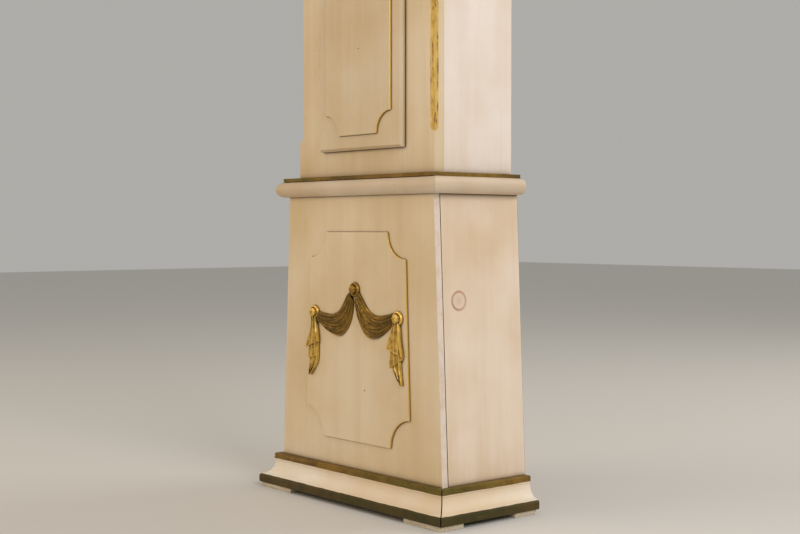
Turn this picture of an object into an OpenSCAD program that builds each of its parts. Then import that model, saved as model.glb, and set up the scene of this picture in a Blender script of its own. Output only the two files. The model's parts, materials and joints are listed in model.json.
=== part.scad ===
// Painted longcase (grandfather) clock: tapered plinth, panelled door, hood, and a two-weight
// eight-day movement. Millimetres, +Z up, front towards -Y, origin under the middle of the case.

/* [Case heights] */
// Height of the four loose pads under the base
pad_h = 8; // [6:1:14]
// Height of the base moulding
base_h = 52.6; // [46:0.2:64]
// Height of the plinth between the base and waist mouldings
plinth_h = 464; // [380:1:560]
// Height of the half-round roll at the waist
roll_h = 27.6; // [22:0.2:34]
// Height of the fillet on top of the waist roll
fillet_h = 6; // [4:0.5:10]
// Height of the trunk between the waist and the throat moulding
trunk_h = 832; // [690:1:1000]
// Height of the throat moulding under the hood
throat_h = 42; // [34:1:60]
// Height of the hood box
hood_h = 448; // [430:1:540]
// Height of the cornice above the hood box
cornice_h = 58; // [54:1:74]
// Height of the shaped crest board
crest_h = 62; // [50:1:90]

/* [Case widths and depths] */
// Width of the trunk
trunk_w = 365; // [330:1:440]
// Depth of the trunk from the wall to its front face
trunk_d = 171; // [165:1:205]
// Outward lean of each plinth side from top to bottom
plinth_splay = 21; // [12:1:30]
// Projection of the base moulding's lower band from the plinth
base_out = 32.5; // [26:0.5:40]
// Projection of the waist roll from the trunk sides
roll_out_side = 35.2; // [30:0.2:42]
// Projection of the waist roll from the trunk front
roll_out_front = 29.5; // [28.5:0.1:40]
// Projection of the waist fillet from the trunk
fillet_out = 21.3; // [15:0.1:26]
// Step from the trunk out to the hood box
hood_step = 29.5; // [24:0.5:36]
// Projection of the cornice from the hood box
cornice_out = 38; // [34:1:48]

/* [Boards] */
// Thickness of the plinth, hood and back boards
board_t = 12; // [10:0.5:16]
// Thickness of the trunk side boards
cheek_t = 14; // [12:0.5:18]
// Thickness of the trunk front frame
frame_t = 20; // [18:0.5:22]
// Play between the trunk sides and the plinth sides
plinth_play_side = 2; // [1:0.1:4]
// Play between the trunk front and the plinth front
plinth_play_front = 1.2; // [0.6:0.1:3]
// Width of the gilded corner chamfers
chamfer_w = 10; // [6:0.5:12]
// Radius of the hole for the wall screw, behind the hood
screw_r = 3; // [2:0.25:4]
// Open width of the shrunken front mitres in the base moulding
mitre_gap = 0.6; // [0.2:0.1:1.5]
// Open width of every other joint line in the joinery
joint_gap = 0.2; // [0.1:0.05:0.4]

/* [Panels and door] */
// Thickness of the raised panels on the plinth and the door
panel_t = 3.5; // [2.5:0.1:6]
// Margin between the plinth panel and the plinth edges at mid height
plinth_panel_margin = 70; // [50:1:100]
// Radius of the upper scooped corners of the plinth panel
scoop_top_r = 44; // [30:1:60]
// Radius of the lower scooped corners of the plinth panel
scoop_low_r = 50; // [30:1:60]
// Width of the trunk door over its lips
door_w = 223; // [190:1:240]
// Height of trunk left plain below the door
door_below = 43.8; // [36:0.2:70]
// Height of trunk left plain above the door
door_above = 42; // [30:1:70]
// How far the door lip stands out from the trunk
door_proud = 10.4; // [8:0.2:14]
// Overlap of the door lip on the frame
lip = 8.5; // [6:0.5:12]
// Margin between the door panel and the door edge at the sides
door_panel_margin = 23.5; // [20:0.5:32]
// Radius of the scooped corners of the door panel
door_scoop_r = 36.5; // [24:0.5:44]

/* [Hood door and dial] */
// Width and height of the square hood door
hood_door_w = 350; // [336:1:360]
// Radius of the round window
window_r = 142; // [130:1:148]
// Width of the gilt ring round the window
bezel_w = 14; // [10:1:16]
// Thickness of the window glass
glass_t = 3; // [2:0.5:4]
// Radius of the dial
dial_r = 152; // [140:1:158]

/* [Movement] */
// Height of the movement plates
plate_h = 190; // [184:1:220]
// Width of the movement plates
plate_w = 160; // [156:1:180]
// Thickness of the movement plates
plate_t = 3; // [2.5:0.1:4]
// Length of the seconds pendulum to the centre of its bob
pendulum_l = 994; // [700:1:1000]
// Radius of the pendulum bob
bob_r = 72; // [55:1:80]
// Radius of each winding barrel
barrel_r = 25; // [20:0.5:27]
// Radius of each weight pulley
pulley_r = 22; // [18:0.5:26]
// Radius of each weight
weight_r = 37.5; // [28:0.5:38]
// Height of each weight
weight_h = 200; // [150:1:240]
// Radius of the weight lines
line_r = 1; // [0.8:0.1:1.5]

/* [Fits] */
// Radial clearance of shafts in their bearings
run_play = 0.05; // [0.02:0.01:0.1]
// Gap between the door lip and the frame
lip_gap = 0.5; // [0.3:0.1:1]
// Gap all round between a door body and its opening
door_play = 1; // [0.6:0.1:2]

/* [Hidden] */
$fn = 96;
eps = 0.01;

// Levels, from the floor up
z_plinth = pad_h + base_h;
z_waist = z_plinth + plinth_h;
plinth_mid = (z_plinth + z_waist) / 2;
z_fillet = z_waist + roll_h;
z_trunk = z_fillet + fillet_h;
z_throat = z_trunk + trunk_h;
z_hood = z_throat + throat_h;
z_roof = z_hood + hood_h;
z_cornice = z_roof - board_t;
z_crest = z_roof + cornice_h;

// Half widths and depths; a depth is measured forward from the flush rear of the case
trunk_hw = trunk_w / 2;
top_hw = trunk_hw + board_t + plinth_play_side;
foot_hw = top_hw + plinth_splay;
plinth_d = trunk_d + board_t + plinth_play_front;
hood_hw = trunk_hw + hood_step;
hood_d = trunk_d + hood_step - 0.5;
overall_d = max(hood_d + cornice_out, plinth_d + base_out);
rear_y = overall_d / 2;

// Door and its opening
door_hw = door_w / 2;
door_z0 = z_trunk + door_below;
door_z1 = z_throat - door_above;
open_hw = door_hw - lip;
open_z0 = door_z0 + lip;
open_z1 = door_z1 - lip;

// Hinges
hinge_r = 3.5;
hinge_pin_r = 1.5;
leaf_t = 1.5;
leaf_w = 9;
hinge_off = hinge_r + 0.3;
hinge_l = 78;
hood_hinge_l = 60;
door_hinge_x = -(door_hw + 2);
door_hinge_zs = [door_z0 + 165 - hinge_l / 2, door_z1 - 165 - hinge_l / 2];
hood_hinge_x = -(hood_door_w / 2 + 2);

// Lock
key_x = door_hw - 15.5;
key_z = (door_z0 + door_z1) / 2;
key_r = 2.5;

// Hood door, centred on the dial
dial_z = z_hood + hood_h / 2 - 1;
hood_door_hw = hood_door_w / 2;
hood_open_hw = hood_door_hw - lip;
hood_hinge_zs = [dial_z - 110 - hood_hinge_l / 2, dial_z + 110 - hood_hinge_l / 2];

// Depths of the movement's layers
pend_d = 34;
back_plate_d = 57;
front_plate_d = 120;
drum_d = [74, 110];
line_d = (drum_d[0] + drum_d[1]) / 2;
dial_d = 150;
hour_hand_d = 156;
minute_hand_d = 160;

// Seat board; the cheeks carry it and the plates stand on it
seat_t = 25;
seat_z = dial_z - 110 - seat_t;
plate_z = seat_z + seat_t;

// Going train: modules, teeth and arbor places, each as [x, z]
great_n = 96; great_m = 0.85;
centre_n = 60; centre_m = 0.8;
third_n = 56; third_m = 0.75;
leaf8 = 8;
escape_leaf = 7;
escape_n = 30; escape_r = 17;
great_to_centre = (great_n + leaf8) * great_m / 2;
centre_to_third = (centre_n + leaf8) * centre_m / 2;
third_to_escape = (third_n + escape_leaf) * third_m / 2;
barrel_x = 36;
centre_p = [0, dial_z];
barrel_p = [barrel_x, dial_z - sqrt(pow(great_to_centre, 2) - pow(barrel_x, 2))];
strike_p = [-barrel_x, barrel_p[1]];
escape_rise = 42;
third_up = (pow(centre_to_third, 2) - pow(third_to_escape, 2) + pow(escape_rise, 2)) / (2 * escape_rise);
third_p = [sqrt(pow(centre_to_third, 2) - pow(third_up, 2)), dial_z + third_up];
escape_p = [0, dial_z + escape_rise];
anchor_p = [0, escape_p[1] + 24];
strike_n = 84;

// Motion work: cannon to minute wheel 1:1, minute pinion to hour wheel 1:12
motion_n = 36;
minute_leaf = 6;
hour_n = 72;
hour_m = 1.05;
motion_m = hour_m * (minute_leaf + hour_n) / (2 * motion_n);
minute_p = [0, dial_z - motion_m * motion_n];

// Arbors and pipes
barrel_arbor_r = 3.5;
centre_arbor_r = 3;
centre_pivot_r = 2;
train_arbor_r = 1.5;
anchor_arbor_r = 2;
cannon_r = 4.5;
hour_pipe_r = 7;
stud_r = 1;
susp_r = 2.5;
rod_r = 3;

// Bell and hammer
bell_r = 46;
bell_t = 3;
bell_d = (back_plate_d + front_plate_d + plate_t) / 2;
bell_z = plate_z + plate_h + 15;
hammer_p = [62, plate_z + plate_h - 23];

// Weights; each hangs from its pulley by a doubled line
line_x = [barrel_p[0] + barrel_r + line_r, barrel_p[0] + barrel_r + line_r + 2 * pulley_r];
weight_x = (line_x[0] + line_x[1]) / 2;
weight_z = 80;
pulley_z = weight_z + weight_h + 55;

// Time shown at rest: ten past ten, as clockwise angles from twelve
minute_turn = 60;
hour_turn = 305;

// Colours
cream = "#DCCBA8";
bare = "#B79B74";
gilt = "#B8903C";
bronze = "#6F5A22";
brass_c = "#B5924A";
steel_c = "#7A7C80";
iron_c = "#4A4642";
white_c = "#ECE7DA";

function yd(d) = rear_y - d;
function face_hw(z) = foot_hw - plinth_splay * max(0, z - z_plinth) / plinth_h;
function polar(r, a) = [r * cos(a), r * sin(a)];
function aim(a, b) = atan2(b[1] - a[1], b[0] - a[0]);
function bezier(p, n) = [for (i = [0:n]) let (t = i / n, s = 1 - t)
    s * s * s * p[0] + 3 * s * s * t * p[1] + 3 * s * t * t * p[2] + t * t * t * p[3]];

// A box between two x, two depths and two heights
module slab(x, d, z) {
    translate([x[0], yd(d[1]), z[0]]) cube([x[1] - x[0], d[1] - d[0], z[1] - z[0]]);
}
// A flat (x, z) outline, extruded from depth d0 forward to d1
module plate_y(d0, d1) {
    translate([0, yd(d0), 0]) rotate([90, 0, 0]) linear_extrude(d1 - d0) children();
}
module rod_y(p, d0, d1, r) {
    plate_y(d0, d1) translate(p) circle(r);
}
module ring_y(p, d0, d1, r, bore) {
    plate_y(d0, d1) translate(p) difference() {
        circle(r);
        circle(bore);
    }
}
// A solid of revolution about an axis along Y; the profile is (radius, depth)
module turn_y(p) {
    translate([p[0], rear_y, p[1]]) rotate([90, 0, 0]) rotate_extrude() children();
}
module both_sides() {
    children();
    mirror([1, 0, 0]) children();
}

// Three mitred lengths of a moulding round the front and sides of a box. The profile is
// (projection, height) and gap opens the two front mitres.
module rim(hw, d, gap = joint_gap) {
    far = 80;
    cut = gap * sqrt(2) / 2;
    intersection() {
        translate([-hw - far, yd(d), 0]) mirror([0, 1, 0]) rotate([90, 0, 90])
            linear_extrude(2 * (hw + far)) children();
        translate([0, yd(d), 0]) linear_extrude(z_crest + crest_h)
            polygon([[-hw + cut, 0], [hw - cut, 0], [hw + far - cut, -far], [-hw - far + cut, -far]]);
    }
    both_sides() intersection() {
        translate([hw, yd(0), 0]) rotate([90, 0, 0]) linear_extrude(d + far) children();
        translate([hw, yd(d), 0]) linear_extrude(z_crest + crest_h)
            polygon([[0, d], [far, d], [far, -far + cut], [0, cut]]);
    }
}
// A three-sided frame that fills between an inner and an outer box
module u_frame(inner_hw, inner_d, outer_hw, outer_d, z) {
    difference() {
        slab([-outer_hw, outer_hw], [0, outer_d], z);
        slab([-inner_hw, inner_hw], [-1, inner_d], [z[0] - 1, z[1] + 1]);
    }
}
// Half-round roll standing on a vertical face, centred at height z
module half_round(r, z) {
    translate([0, z]) intersection() {
        circle(r);
        translate([0, -r]) square([r, 2 * r]);
    }
}

// --- Plinth ---
module foot_pads() color(white_c) {
    inset = 4;
    pad = [90, 48];
    hw = foot_hw + base_out - inset;
    d = plinth_d + base_out - inset;
    both_sides() {
        slab([hw - pad[0], hw], [d - pad[1], d], [0, pad_h]);
        slab([hw - pad[0], hw], [inset, inset + pad[1]], [0, pad_h]);
    }
}
module base_moulding() color(cream) {
    band_h = 14;
    neck = 10.6;
    cove_z = [pad_h + 16.5, z_plinth - 14.1];
    top_out = 12;
    rim(foot_hw, plinth_d, mitre_gap) polygon(concat(
        [[0, pad_h], [base_out - 1, pad_h], [base_out, pad_h + 1], [base_out, pad_h + band_h - 1]],
        [for (a = [0:15:90]) [base_out - 3.1 - (base_out - 3.1 - neck) * sin(a),
            cove_z[0] + (cove_z[1] - cove_z[0]) * (1 - cos(a))]],
        [[top_out + 0.7, cove_z[1] + 1], [top_out + 0.7, z_plinth - 9.5], [top_out, z_plinth - 9],
            [top_out, z_plinth], [0, z_plinth]]));
}
module plinth_floor() color(bare) {
    hw = foot_hw - board_t;
    slab([-hw, hw], [board_t, plinth_d - board_t], [pad_h + 12, pad_h + 12 + board_t]);
}
module plinth_front_board() color(cream)
    plate_y(plinth_d - board_t, plinth_d)
        polygon([[-foot_hw, pad_h], [foot_hw, pad_h], [foot_hw, z_plinth], [top_hw, z_waist],
            [-top_hw, z_waist], [-foot_hw, z_plinth]]);
module plinth_side_boards() color(cream)
    both_sides() plate_y(0, plinth_d - board_t)
        polygon([[foot_hw, pad_h], [foot_hw, z_plinth], [top_hw, z_waist], [top_hw - board_t, z_waist],
            [foot_hw - board_t, z_plinth], [foot_hw - board_t, pad_h]]);
function panel_hw(z) = face_hw(plinth_mid) - plinth_panel_margin - 0.85 * plinth_splay * (z - plinth_mid) / plinth_h;
module plinth_panel() color(cream) {
    z0 = z_plinth + 47.2;
    z1 = z_waist - 61.6;
    plate_y(plinth_d, plinth_d + panel_t) difference() {
        polygon([[-panel_hw(z0), z0], [panel_hw(z0), z0], [panel_hw(z1), z1], [-panel_hw(z1), z1]]);
        for (s = [-1, 1]) {
            translate([s * panel_hw(z1), z1]) circle(scoop_top_r);
            translate([s * panel_hw(z0), z0]) circle(scoop_low_r);
        }
    }
}
module rosette(p, d)
    turn_y(p) polygon([[0, d], [12, d], [12, d + 4], [9, d + 8], [4, d + 10], [0, d + 10]]);
// Gilded drapery: two swags looped over three rosettes, with a folded drop at each end
module drapery_ornament() color(gilt) {
    d = plinth_d + panel_t;
    top = plinth_mid + 73.5;
    side = [113.5, plinth_mid + 30];
    rosette([0, top], d);
    for (s = [-1, 1]) rosette([s * side[0], side[1]], d);
    both_sides() plate_y(d, d + 7) polygon(concat(
        bezier([[0, top], [30, top - 38], [74, top - 60], [side[0] + 3, side[1] + 8]], 12),
        bezier([[side[0] + 3, side[1] - 8], [84, top - 84], [26, top - 103], [0, top - 19]], 12)));
    // The drops hang alike, each with its hem turned over to the left
    plate_y(d, d + 6) translate(side) polygon([[-14, -10], [-16, -36], [-23, -50], [-15, -56],
        [-15, -78], [2, -88], [12, -108], [15, -80], [14, -60], [10, -10]]);
    plate_y(d, d + 6) translate([-side[0], side[1]]) polygon([[-9, -10], [-15, -46], [-21, -60],
        [-14, -70], [-14, -110], [0, -96], [11, -86], [12, -74], [14, -44], [11, -10]]);
}

// --- Waist ---
module waist_solid() {
    r = roll_h / 2;
    hw = trunk_hw + roll_out_side - r;
    d = trunk_d + roll_out_front - r;
    u_frame(trunk_hw, trunk_d, hw, d, [z_waist, z_fillet]);
    u_frame(trunk_hw, trunk_d, trunk_hw + fillet_out, trunk_d + fillet_out, [z_fillet, z_trunk]);
    rim(hw, d, 0) half_round(r, z_waist + r);
}
// The waist moulding is three lengths, parted by kerfs from the trunk's corners outwards
module waist_kerfs() {
    out = [roll_out_side, roll_out_front];
    both_sides() translate([trunk_hw, yd(trunk_d), z_waist - 1]) linear_extrude(roll_h + fillet_h + 2)
        polygon([-0.1 * out, -0.1 * out + [joint_gap, 0], 1.2 * out + [joint_gap, 0], 1.2 * out]
            * [[1, 0], [0, -1]]);
}

module waist_moulding() color(cream) difference() {
    waist_solid();
    waist_kerfs();
}

// --- Trunk ---
// Chamfer cutter for a vertical corner at (hw, d), with a short run-out at each end
module chamfer_cut(hw, d, z) {
    runout = 7;
    depth = 0.9 * chamfer_w;
    module wedge(k) polygon([[hw - chamfer_w * k, yd(d)], [hw, yd(d - depth * k)],
        [hw + 1, yd(d - depth * k)], [hw + 1, yd(d + 1)], [hw - chamfer_w * k, yd(d + 1)]]);
    hull() {
        translate([0, 0, z[0] + runout]) linear_extrude(z[1] - z[0] - 2 * runout) wedge(1);
        translate([0, 0, z[0]]) linear_extrude(z[1] - z[0]) wedge(0.05);
    }
}
module trunk_front_frame() color(cream) {
    d0 = trunk_d - frame_t;
    stile_z = [z_waist - 60, z_hood];
    difference() {
        both_sides() difference() {
            slab([open_hw, trunk_hw], [d0, trunk_d], stile_z);
            chamfer_cut(trunk_hw, trunk_d, [z_trunk + 64, z_throat - 64]);
        }
        for (z = door_hinge_zs) leaf_recess(door_hinge_x, trunk_d, z, hinge_l);
    }
    rail = [-open_hw + joint_gap, open_hw - joint_gap];
    slab(rail, [d0, trunk_d], [stile_z[0], open_z0]);
    slab(rail, [d0, trunk_d], [open_z1, stile_z[1]]);
}
// The bed of a fixed hinge leaf, cut into the hinge-side stile
module leaf_recess(x, d, z, l) {
    slab([x - 2, x + leaf_w], [d - leaf_t, d + 1], [z, z + l]);
}
module trunk_side_boards() color(cream)
    both_sides() slab([trunk_hw - cheek_t, trunk_hw], [0, trunk_d - frame_t], [z_waist - 60, seat_z]);
module back_board() color(bare) {
    wide = foot_hw - board_t - run_play;
    z_cheek = z_waist - 60;
    narrow = trunk_hw - cheek_t;
    upper = hood_hw - board_t - 2;
    half = [[wide, pad_h], [wide, z_plinth], [face_hw(z_cheek) - board_t - run_play, z_cheek], [narrow, z_cheek],
        [narrow, seat_z], [upper, seat_z], [upper, z_roof - 1]];
    difference() {
        plate_y(0, board_t) polygon(concat(half, [for (i = [len(half) - 1:-1:0]) [-half[i][0], half[i][1]]]));
        rod_y([0, z_roof - 45], -1, board_t + 1, screw_r);
    }
}
module throat_moulding() color(cream) {
    out = hood_step + 6.5;
    foot = 8;
    fillet = 6;
    rise = throat_h - 2 * fillet - 2;
    rim(trunk_hw, trunk_d) polygon(concat(
        [[0, z_throat], [foot, z_throat]],
        [for (a = [0:15:90]) [foot + (out - foot) * (1 - cos(a)), z_throat + fillet + rise * sin(a)]],
        [[out, z_hood], [0, z_hood]]));
}
module seat_board() color(bare) difference() {
    slab([-trunk_hw, trunk_hw], [back_plate_d - 7, dial_d - 2], [seat_z, plate_z]);
    for (s = [-1, 1]) {
        translate([s * line_x[0], yd(line_d), seat_z - 1])
            translate([-7, -18, 0]) cube([14, 36, seat_t + 2]);
        translate([s * line_x[1], yd(line_d), seat_z - 1]) cylinder(r = line_r + 0.3, h = seat_t + 2, $fn = 32);
    }
}

// --- Hinges: the fixed leaf carries the pin, the moving leaf turns on it ---
module knuckle(x, d, z0, z1, r) {
    translate([x, yd(d), z0]) cylinder(r = r, h = z1 - z0, $fn = 48);
}
module hinge_fixed(x, face, z, l) {
    third = l / 3;
    d = face + hinge_off;
    slab([x, x + leaf_w], [face - leaf_t, face], [z, z + l]);
    knuckle(x, d, z, z + l, hinge_pin_r);
    for (k = [0, 2]) {
        knuckle(x, d, z + k * third + 0.15, z + (k + 1) * third - 0.15, hinge_r);
        slab([x - 1.5, x + 1.5], [face - leaf_t, d], [z + k * third + 0.15, z + (k + 1) * third - 0.15]);
    }
}
module hinge_moving(x, face, z, l) {
    third = l / 3;
    d = face + hinge_off;
    back = face + lip_gap;
    slab([x + 3.9, x + leaf_w], [back, back + leaf_t], [z, z + l]);
    difference() {
        union() {
            knuckle(x, d, z + third + 0.15, z + 2 * third - 0.15, hinge_r);
            slab([x + 1.5, x + leaf_w], [back, back + leaf_t], [z + third + 0.15, z + 2 * third - 0.15]);
        }
        knuckle(x, d, z, z + l, hinge_pin_r + run_play);
    }
}
// What the lip of a door gives up for one hinge
module hinge_notch(x, face, z, l) {
    slab([x - 1, x + 3.85], [face - 1, face + 40], [z - 0.3, z + l + 0.3]);
    slab([x + 3, x + leaf_w], [face - 1, face + lip_gap + leaf_t], [z, z + l]);
}
// A lipped door blank: a body that enters the opening and a lip with eased edges
module lipped_door(x_hw, z, body_hw, body_z, face, body_t, proud) {
    ease = 4;
    slab([-body_hw, body_hw], [face - body_t, face + lip_gap + eps], body_z);
    hull() {
        slab([-x_hw, x_hw], [face + lip_gap, face + proud - ease], z);
        slab([-x_hw + ease, x_hw - ease], [face + lip_gap, face + proud], [z[0] + ease, z[1] - ease]);
    }
}

// --- Trunk door ---
module trunk_hinge_leaves() color(cream)
    for (z = door_hinge_zs) hinge_fixed(door_hinge_x, trunk_d, z, hinge_l);
module trunk_door() color(cream) difference() {
    lipped_door(door_hw, [door_z0, door_z1], open_hw - door_play, [open_z0 + door_play, open_z1 - door_play],
        trunk_d, 16, door_proud);
    for (z = door_hinge_zs) hinge_notch(door_hinge_x, trunk_d, z, hinge_l);
    rod_y([key_x, key_z], trunk_d - 20, trunk_d + 20, key_r + 2 * run_play);
}
module trunk_door_panel() color(cream) {
    hw = door_hw - door_panel_margin;
    z0 = door_z0 + 25;
    z1 = door_z1 - 25;
    plate_y(trunk_d + door_proud, trunk_d + door_proud + panel_t) difference() {
        translate([-hw, z0]) square([2 * hw, z1 - z0]);
        for (x = [-hw, hw], z = [z0, z1]) translate([x, z]) circle(door_scoop_r);
    }
}
module trunk_door_hinges() color(cream)
    for (z = door_hinge_zs) hinge_moving(door_hinge_x, trunk_d, z, hinge_l);

// --- Lock: the key turns in the case and throws the bolt behind the stile ---
lock_d = [trunk_d - 28, trunk_d - 16];
bolt_z = [key_z - 6, key_z + 6];
bolt_d = [lock_d[0] + 3, lock_d[0] + 7];
module lock_case() color(brass_c) difference() {
    slab([open_hw - 40, open_hw - 1.5], lock_d, [key_z - 30, key_z + 30]);
    slab([open_hw - 38, open_hw - 3], [lock_d[0] + 1.5, lock_d[1] + 1], [key_z - 28, key_z + 28]);
    slab([open_hw - 20, open_hw], bolt_d + [-0.3, 0.3], bolt_z + [-0.3, 0.3]);
}
module lock_bolt() color(steel_c)
    slab([open_hw - 34, open_hw - 1.6], bolt_d, bolt_z);
module door_key() color(steel_c) {
    p = [key_x, key_z];
    tip = lock_d[0] + 8;
    front = trunk_d + door_proud;
    rod_y(p, tip, front + 14, key_r);
    plate_y(tip, tip + 3.4) translate([key_x - 1, key_z - 9.5]) square([2, 9]);
    translate([key_x, yd(front + 23), key_z]) rotate([0, 90, 0]) rotate_extrude()
        translate([9, 0]) circle(2, $fn = 32);
}

// --- Hood ---
module hood_side_boards() color(cream)
    both_sides() slab([hood_hw - board_t, hood_hw], [0, hood_d - frame_t], [z_hood, z_roof]);
module hood_front_frame() color(cream) {
    d = [hood_d - frame_t, hood_d];
    z0 = dial_z - hood_open_hw;
    z1 = dial_z + hood_open_hw;
    difference() {
        both_sides() difference() {
            slab([hood_open_hw, hood_hw], d, [z_hood, z_roof]);
            chamfer_cut(hood_hw, hood_d, [z_hood + roll_h + 22, z_cornice - 22]);
        }
        for (z = hood_hinge_zs) leaf_recess(hood_hinge_x, hood_d, z, hood_hinge_l);
    }
    rail = [-hood_open_hw + joint_gap, hood_open_hw - joint_gap];
    slab(rail, d, [z_hood, z0]);
    slab(rail, d, [z1, z_roof]);
}
module hood_roof_board() color(bare)
    slab([-hood_hw, hood_hw], [0, hood_d], [z_roof, z_roof + board_t]);
module hood_cornice() color(cream) {
    r = roll_h / 2;
    roll_z = z_crest - fillet_h - r;
    foot = 6;
    neck = cornice_out - r - 4;
    cove_z = [z_cornice + foot, roll_z - r - 4];
    rim(hood_hw, hood_d) union() {
        polygon(concat(
            [[0, z_cornice], [foot, z_cornice]],
            [for (a = [0:15:90]) [foot + (neck - foot) * (1 - cos(a)), cove_z[0] + (cove_z[1] - cove_z[0]) * sin(a)]],
            [[neck + 4, roll_z - r], [cornice_out - r, roll_z - r], [cornice_out - r, roll_z + r],
                [cornice_out - r + 2, roll_z + r], [cornice_out - r + 2, z_crest], [0, z_crest]]));
        translate([cornice_out - r, 0]) half_round(r, roll_z);
    }
}
module hood_base_roll() color(cream)
    rim(hood_hw, hood_d) half_round(roll_h / 2, z_hood + roll_h / 2);
module hood_crest() color(cream) {
    hw = 190;
    t = 16;
    plate_y(hood_d + 4, hood_d + 4 + t) difference() {
        translate([-hw, z_crest]) square([2 * hw, crest_h]);
        for (s = [-1, 1]) translate([s * hw, z_crest + crest_h]) circle(door_scoop_r);
    }
}
module hood_hinge_leaves() color(brass_c)
    for (z = hood_hinge_zs) hinge_fixed(hood_hinge_x, hood_d, z, hood_hinge_l);

// --- Hood door ---
hood_body_t = 14;
module hood_door() color(cream) difference() {
    lipped_door(hood_door_hw, [dial_z - hood_door_hw, dial_z + hood_door_hw],
        hood_open_hw - door_play, [dial_z - hood_open_hw + door_play, dial_z + hood_open_hw - door_play],
        hood_d, hood_body_t, door_proud);
    for (z = hood_hinge_zs) hinge_notch(hood_hinge_x, hood_d, z, hood_hinge_l);
    rod_y(centre_p, hood_d - 30, hood_d + 30, window_r);
    rod_y(centre_p, hood_d - hood_body_t - 1, hood_d - hood_body_t + glass_t + 1, window_r + 8);
}
module dial_bezel() color(gilt) {
    front = hood_d + door_proud;
    turn_y(centre_p) polygon([[window_r, front], [window_r + bezel_w, front], [window_r + bezel_w, front + 2],
        [window_r + bezel_w - 4, front + 5], [window_r + 4, front + 5], [window_r, front + 2]]);
}
module hood_glass() color("#C8D8DC", 0.35)
    rod_y(centre_p, hood_d - hood_body_t + 1, hood_d - hood_body_t + 1 + glass_t, window_r + 7.5);
module hood_door_hinges() color(brass_c)
    for (z = hood_hinge_zs) hinge_moving(hood_hinge_x, hood_d, z, hood_hinge_l);
module hood_door_knob() color(brass_c) {
    front = hood_d + door_proud;
    turn_y([window_r + bezel_w + 10, dial_z]) polygon([[0, front], [6, front], [6, front + 1.5],
        [2.5, front + 3], [2.5, front + 7], [5.5, front + 10], [6.5, front + 13], [4.5, front + 16],
        [0, front + 17]]);
}

// --- Movement frame ---
pillar_ps = [for (x = [-1, 1], z = [12, plate_h - 12]) [x * (plate_w / 2 - 10), plate_z + z]];
module pivot_holes(centre_r) {
    for (p = [barrel_p, strike_p]) translate(p) circle(barrel_arbor_r + run_play);
    translate(centre_p) circle(centre_r + run_play);
    for (p = [third_p, escape_p]) translate(p) circle(train_arbor_r + run_play);
    translate(hammer_p) circle(anchor_arbor_r + run_play);
}
module plate_outline()
    translate([-plate_w / 2, plate_z]) square([plate_w, plate_h]);
module back_plate() color(brass_c) plate_y(back_plate_d, back_plate_d + plate_t) difference() {
    plate_outline();
    pivot_holes(centre_pivot_r);
    translate(anchor_p) circle(anchor_arbor_r + 3);
}
module front_plate() color(brass_c) {
    plate_y(front_plate_d, front_plate_d + plate_t) difference() {
        plate_outline();
        pivot_holes(centre_arbor_r);
        translate(anchor_p) circle(anchor_arbor_r + run_play);
    }
    rod_y(minute_p, front_plate_d + plate_t, front_plate_d + plate_t + 18, stud_r);
}
module plate_pillars() color(brass_c)
    for (p = pillar_ps) turn_y(p) polygon([[0, back_plate_d + plate_t], [7, back_plate_d + plate_t],
        [7, back_plate_d + plate_t + 4], [4, back_plate_d + plate_t + 8], [4, front_plate_d - 8],
        [7, front_plate_d - 4], [7, front_plate_d], [0, front_plate_d]]);
module dial() color(white_c) {
    t = 1.5;
    plate_y(dial_d, dial_d + t) difference() {
        translate(centre_p) circle(dial_r);
        translate(centre_p) circle(hour_pipe_r + 2);
        for (p = [barrel_p, strike_p]) translate(p) circle(barrel_arbor_r + 3);
    }
    for (x = [-1, 1], z = [-70, 62])
        rod_y([x * 62, dial_z + z], front_plate_d + plate_t, dial_d + eps, 3);
}
module suspension_cock() color(brass_c) {
    d = [back_plate_d - 18, back_plate_d - 14];
    difference() {
        union() {
            plate_y(d[0], d[1]) translate(anchor_p + [-24, -10]) square([48, 20]);
            both_sides() plate_y(d[1] - eps, back_plate_d) translate(anchor_p + [15, -10]) square([9, 20]);
        }
        rod_y(anchor_p, d[0] + 1.5, d[1] + 1, anchor_arbor_r + run_play);
    }
    rod_y(anchor_p, d[0] - 12, d[0] + eps, susp_r);
    rod_y(anchor_p, d[0] - 13, d[0] - 11, susp_r + 2);
}

// --- Bell and hammer ---
module bell() color(brass_c) translate([0, yd(bell_d), bell_z]) difference() {
    rotate_extrude() difference() {
        intersection() {
            circle(bell_r);
            square([bell_r, bell_r]);
        }
        circle(bell_r - bell_t);
    }
    cylinder(r = 3 + run_play, h = 2 * bell_r);
}
module bell_stand() color(steel_c) {
    top = plate_z + plate_h;
    slab([-6, 6], [back_plate_d, front_plate_d + plate_t], [top, top + 6]);
    translate([0, yd(bell_d), top + 5]) {
        cylinder(r = 3, h = bell_z + bell_r + 6 - top - 5, $fn = 48);
        translate([0, 0, bell_z + bell_r - top - 5]) cylinder(r = 6, h = 4, $fn = 6);
        cylinder(r = 5, h = bell_z + bell_r - bell_t - 2 - top - 5, $fn = 48);
    }
}
module hammer() color(steel_c) {
    reach = bell_z + 12 - hammer_p[1];
    rod_y(hammer_p, back_plate_d, front_plate_d + plate_t, anchor_arbor_r);
    plate_y(bell_d - 3, bell_d + 3) {
        translate(hammer_p + [-1.5, 0]) square([3, reach]);
        translate(hammer_p) circle(4);
    }
    translate([hammer_p[0] - 12, yd(bell_d), hammer_p[1] + reach]) rotate([0, 90, 0])
        cylinder(r = 6, h = 16, $fn = 48);
}

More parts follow.
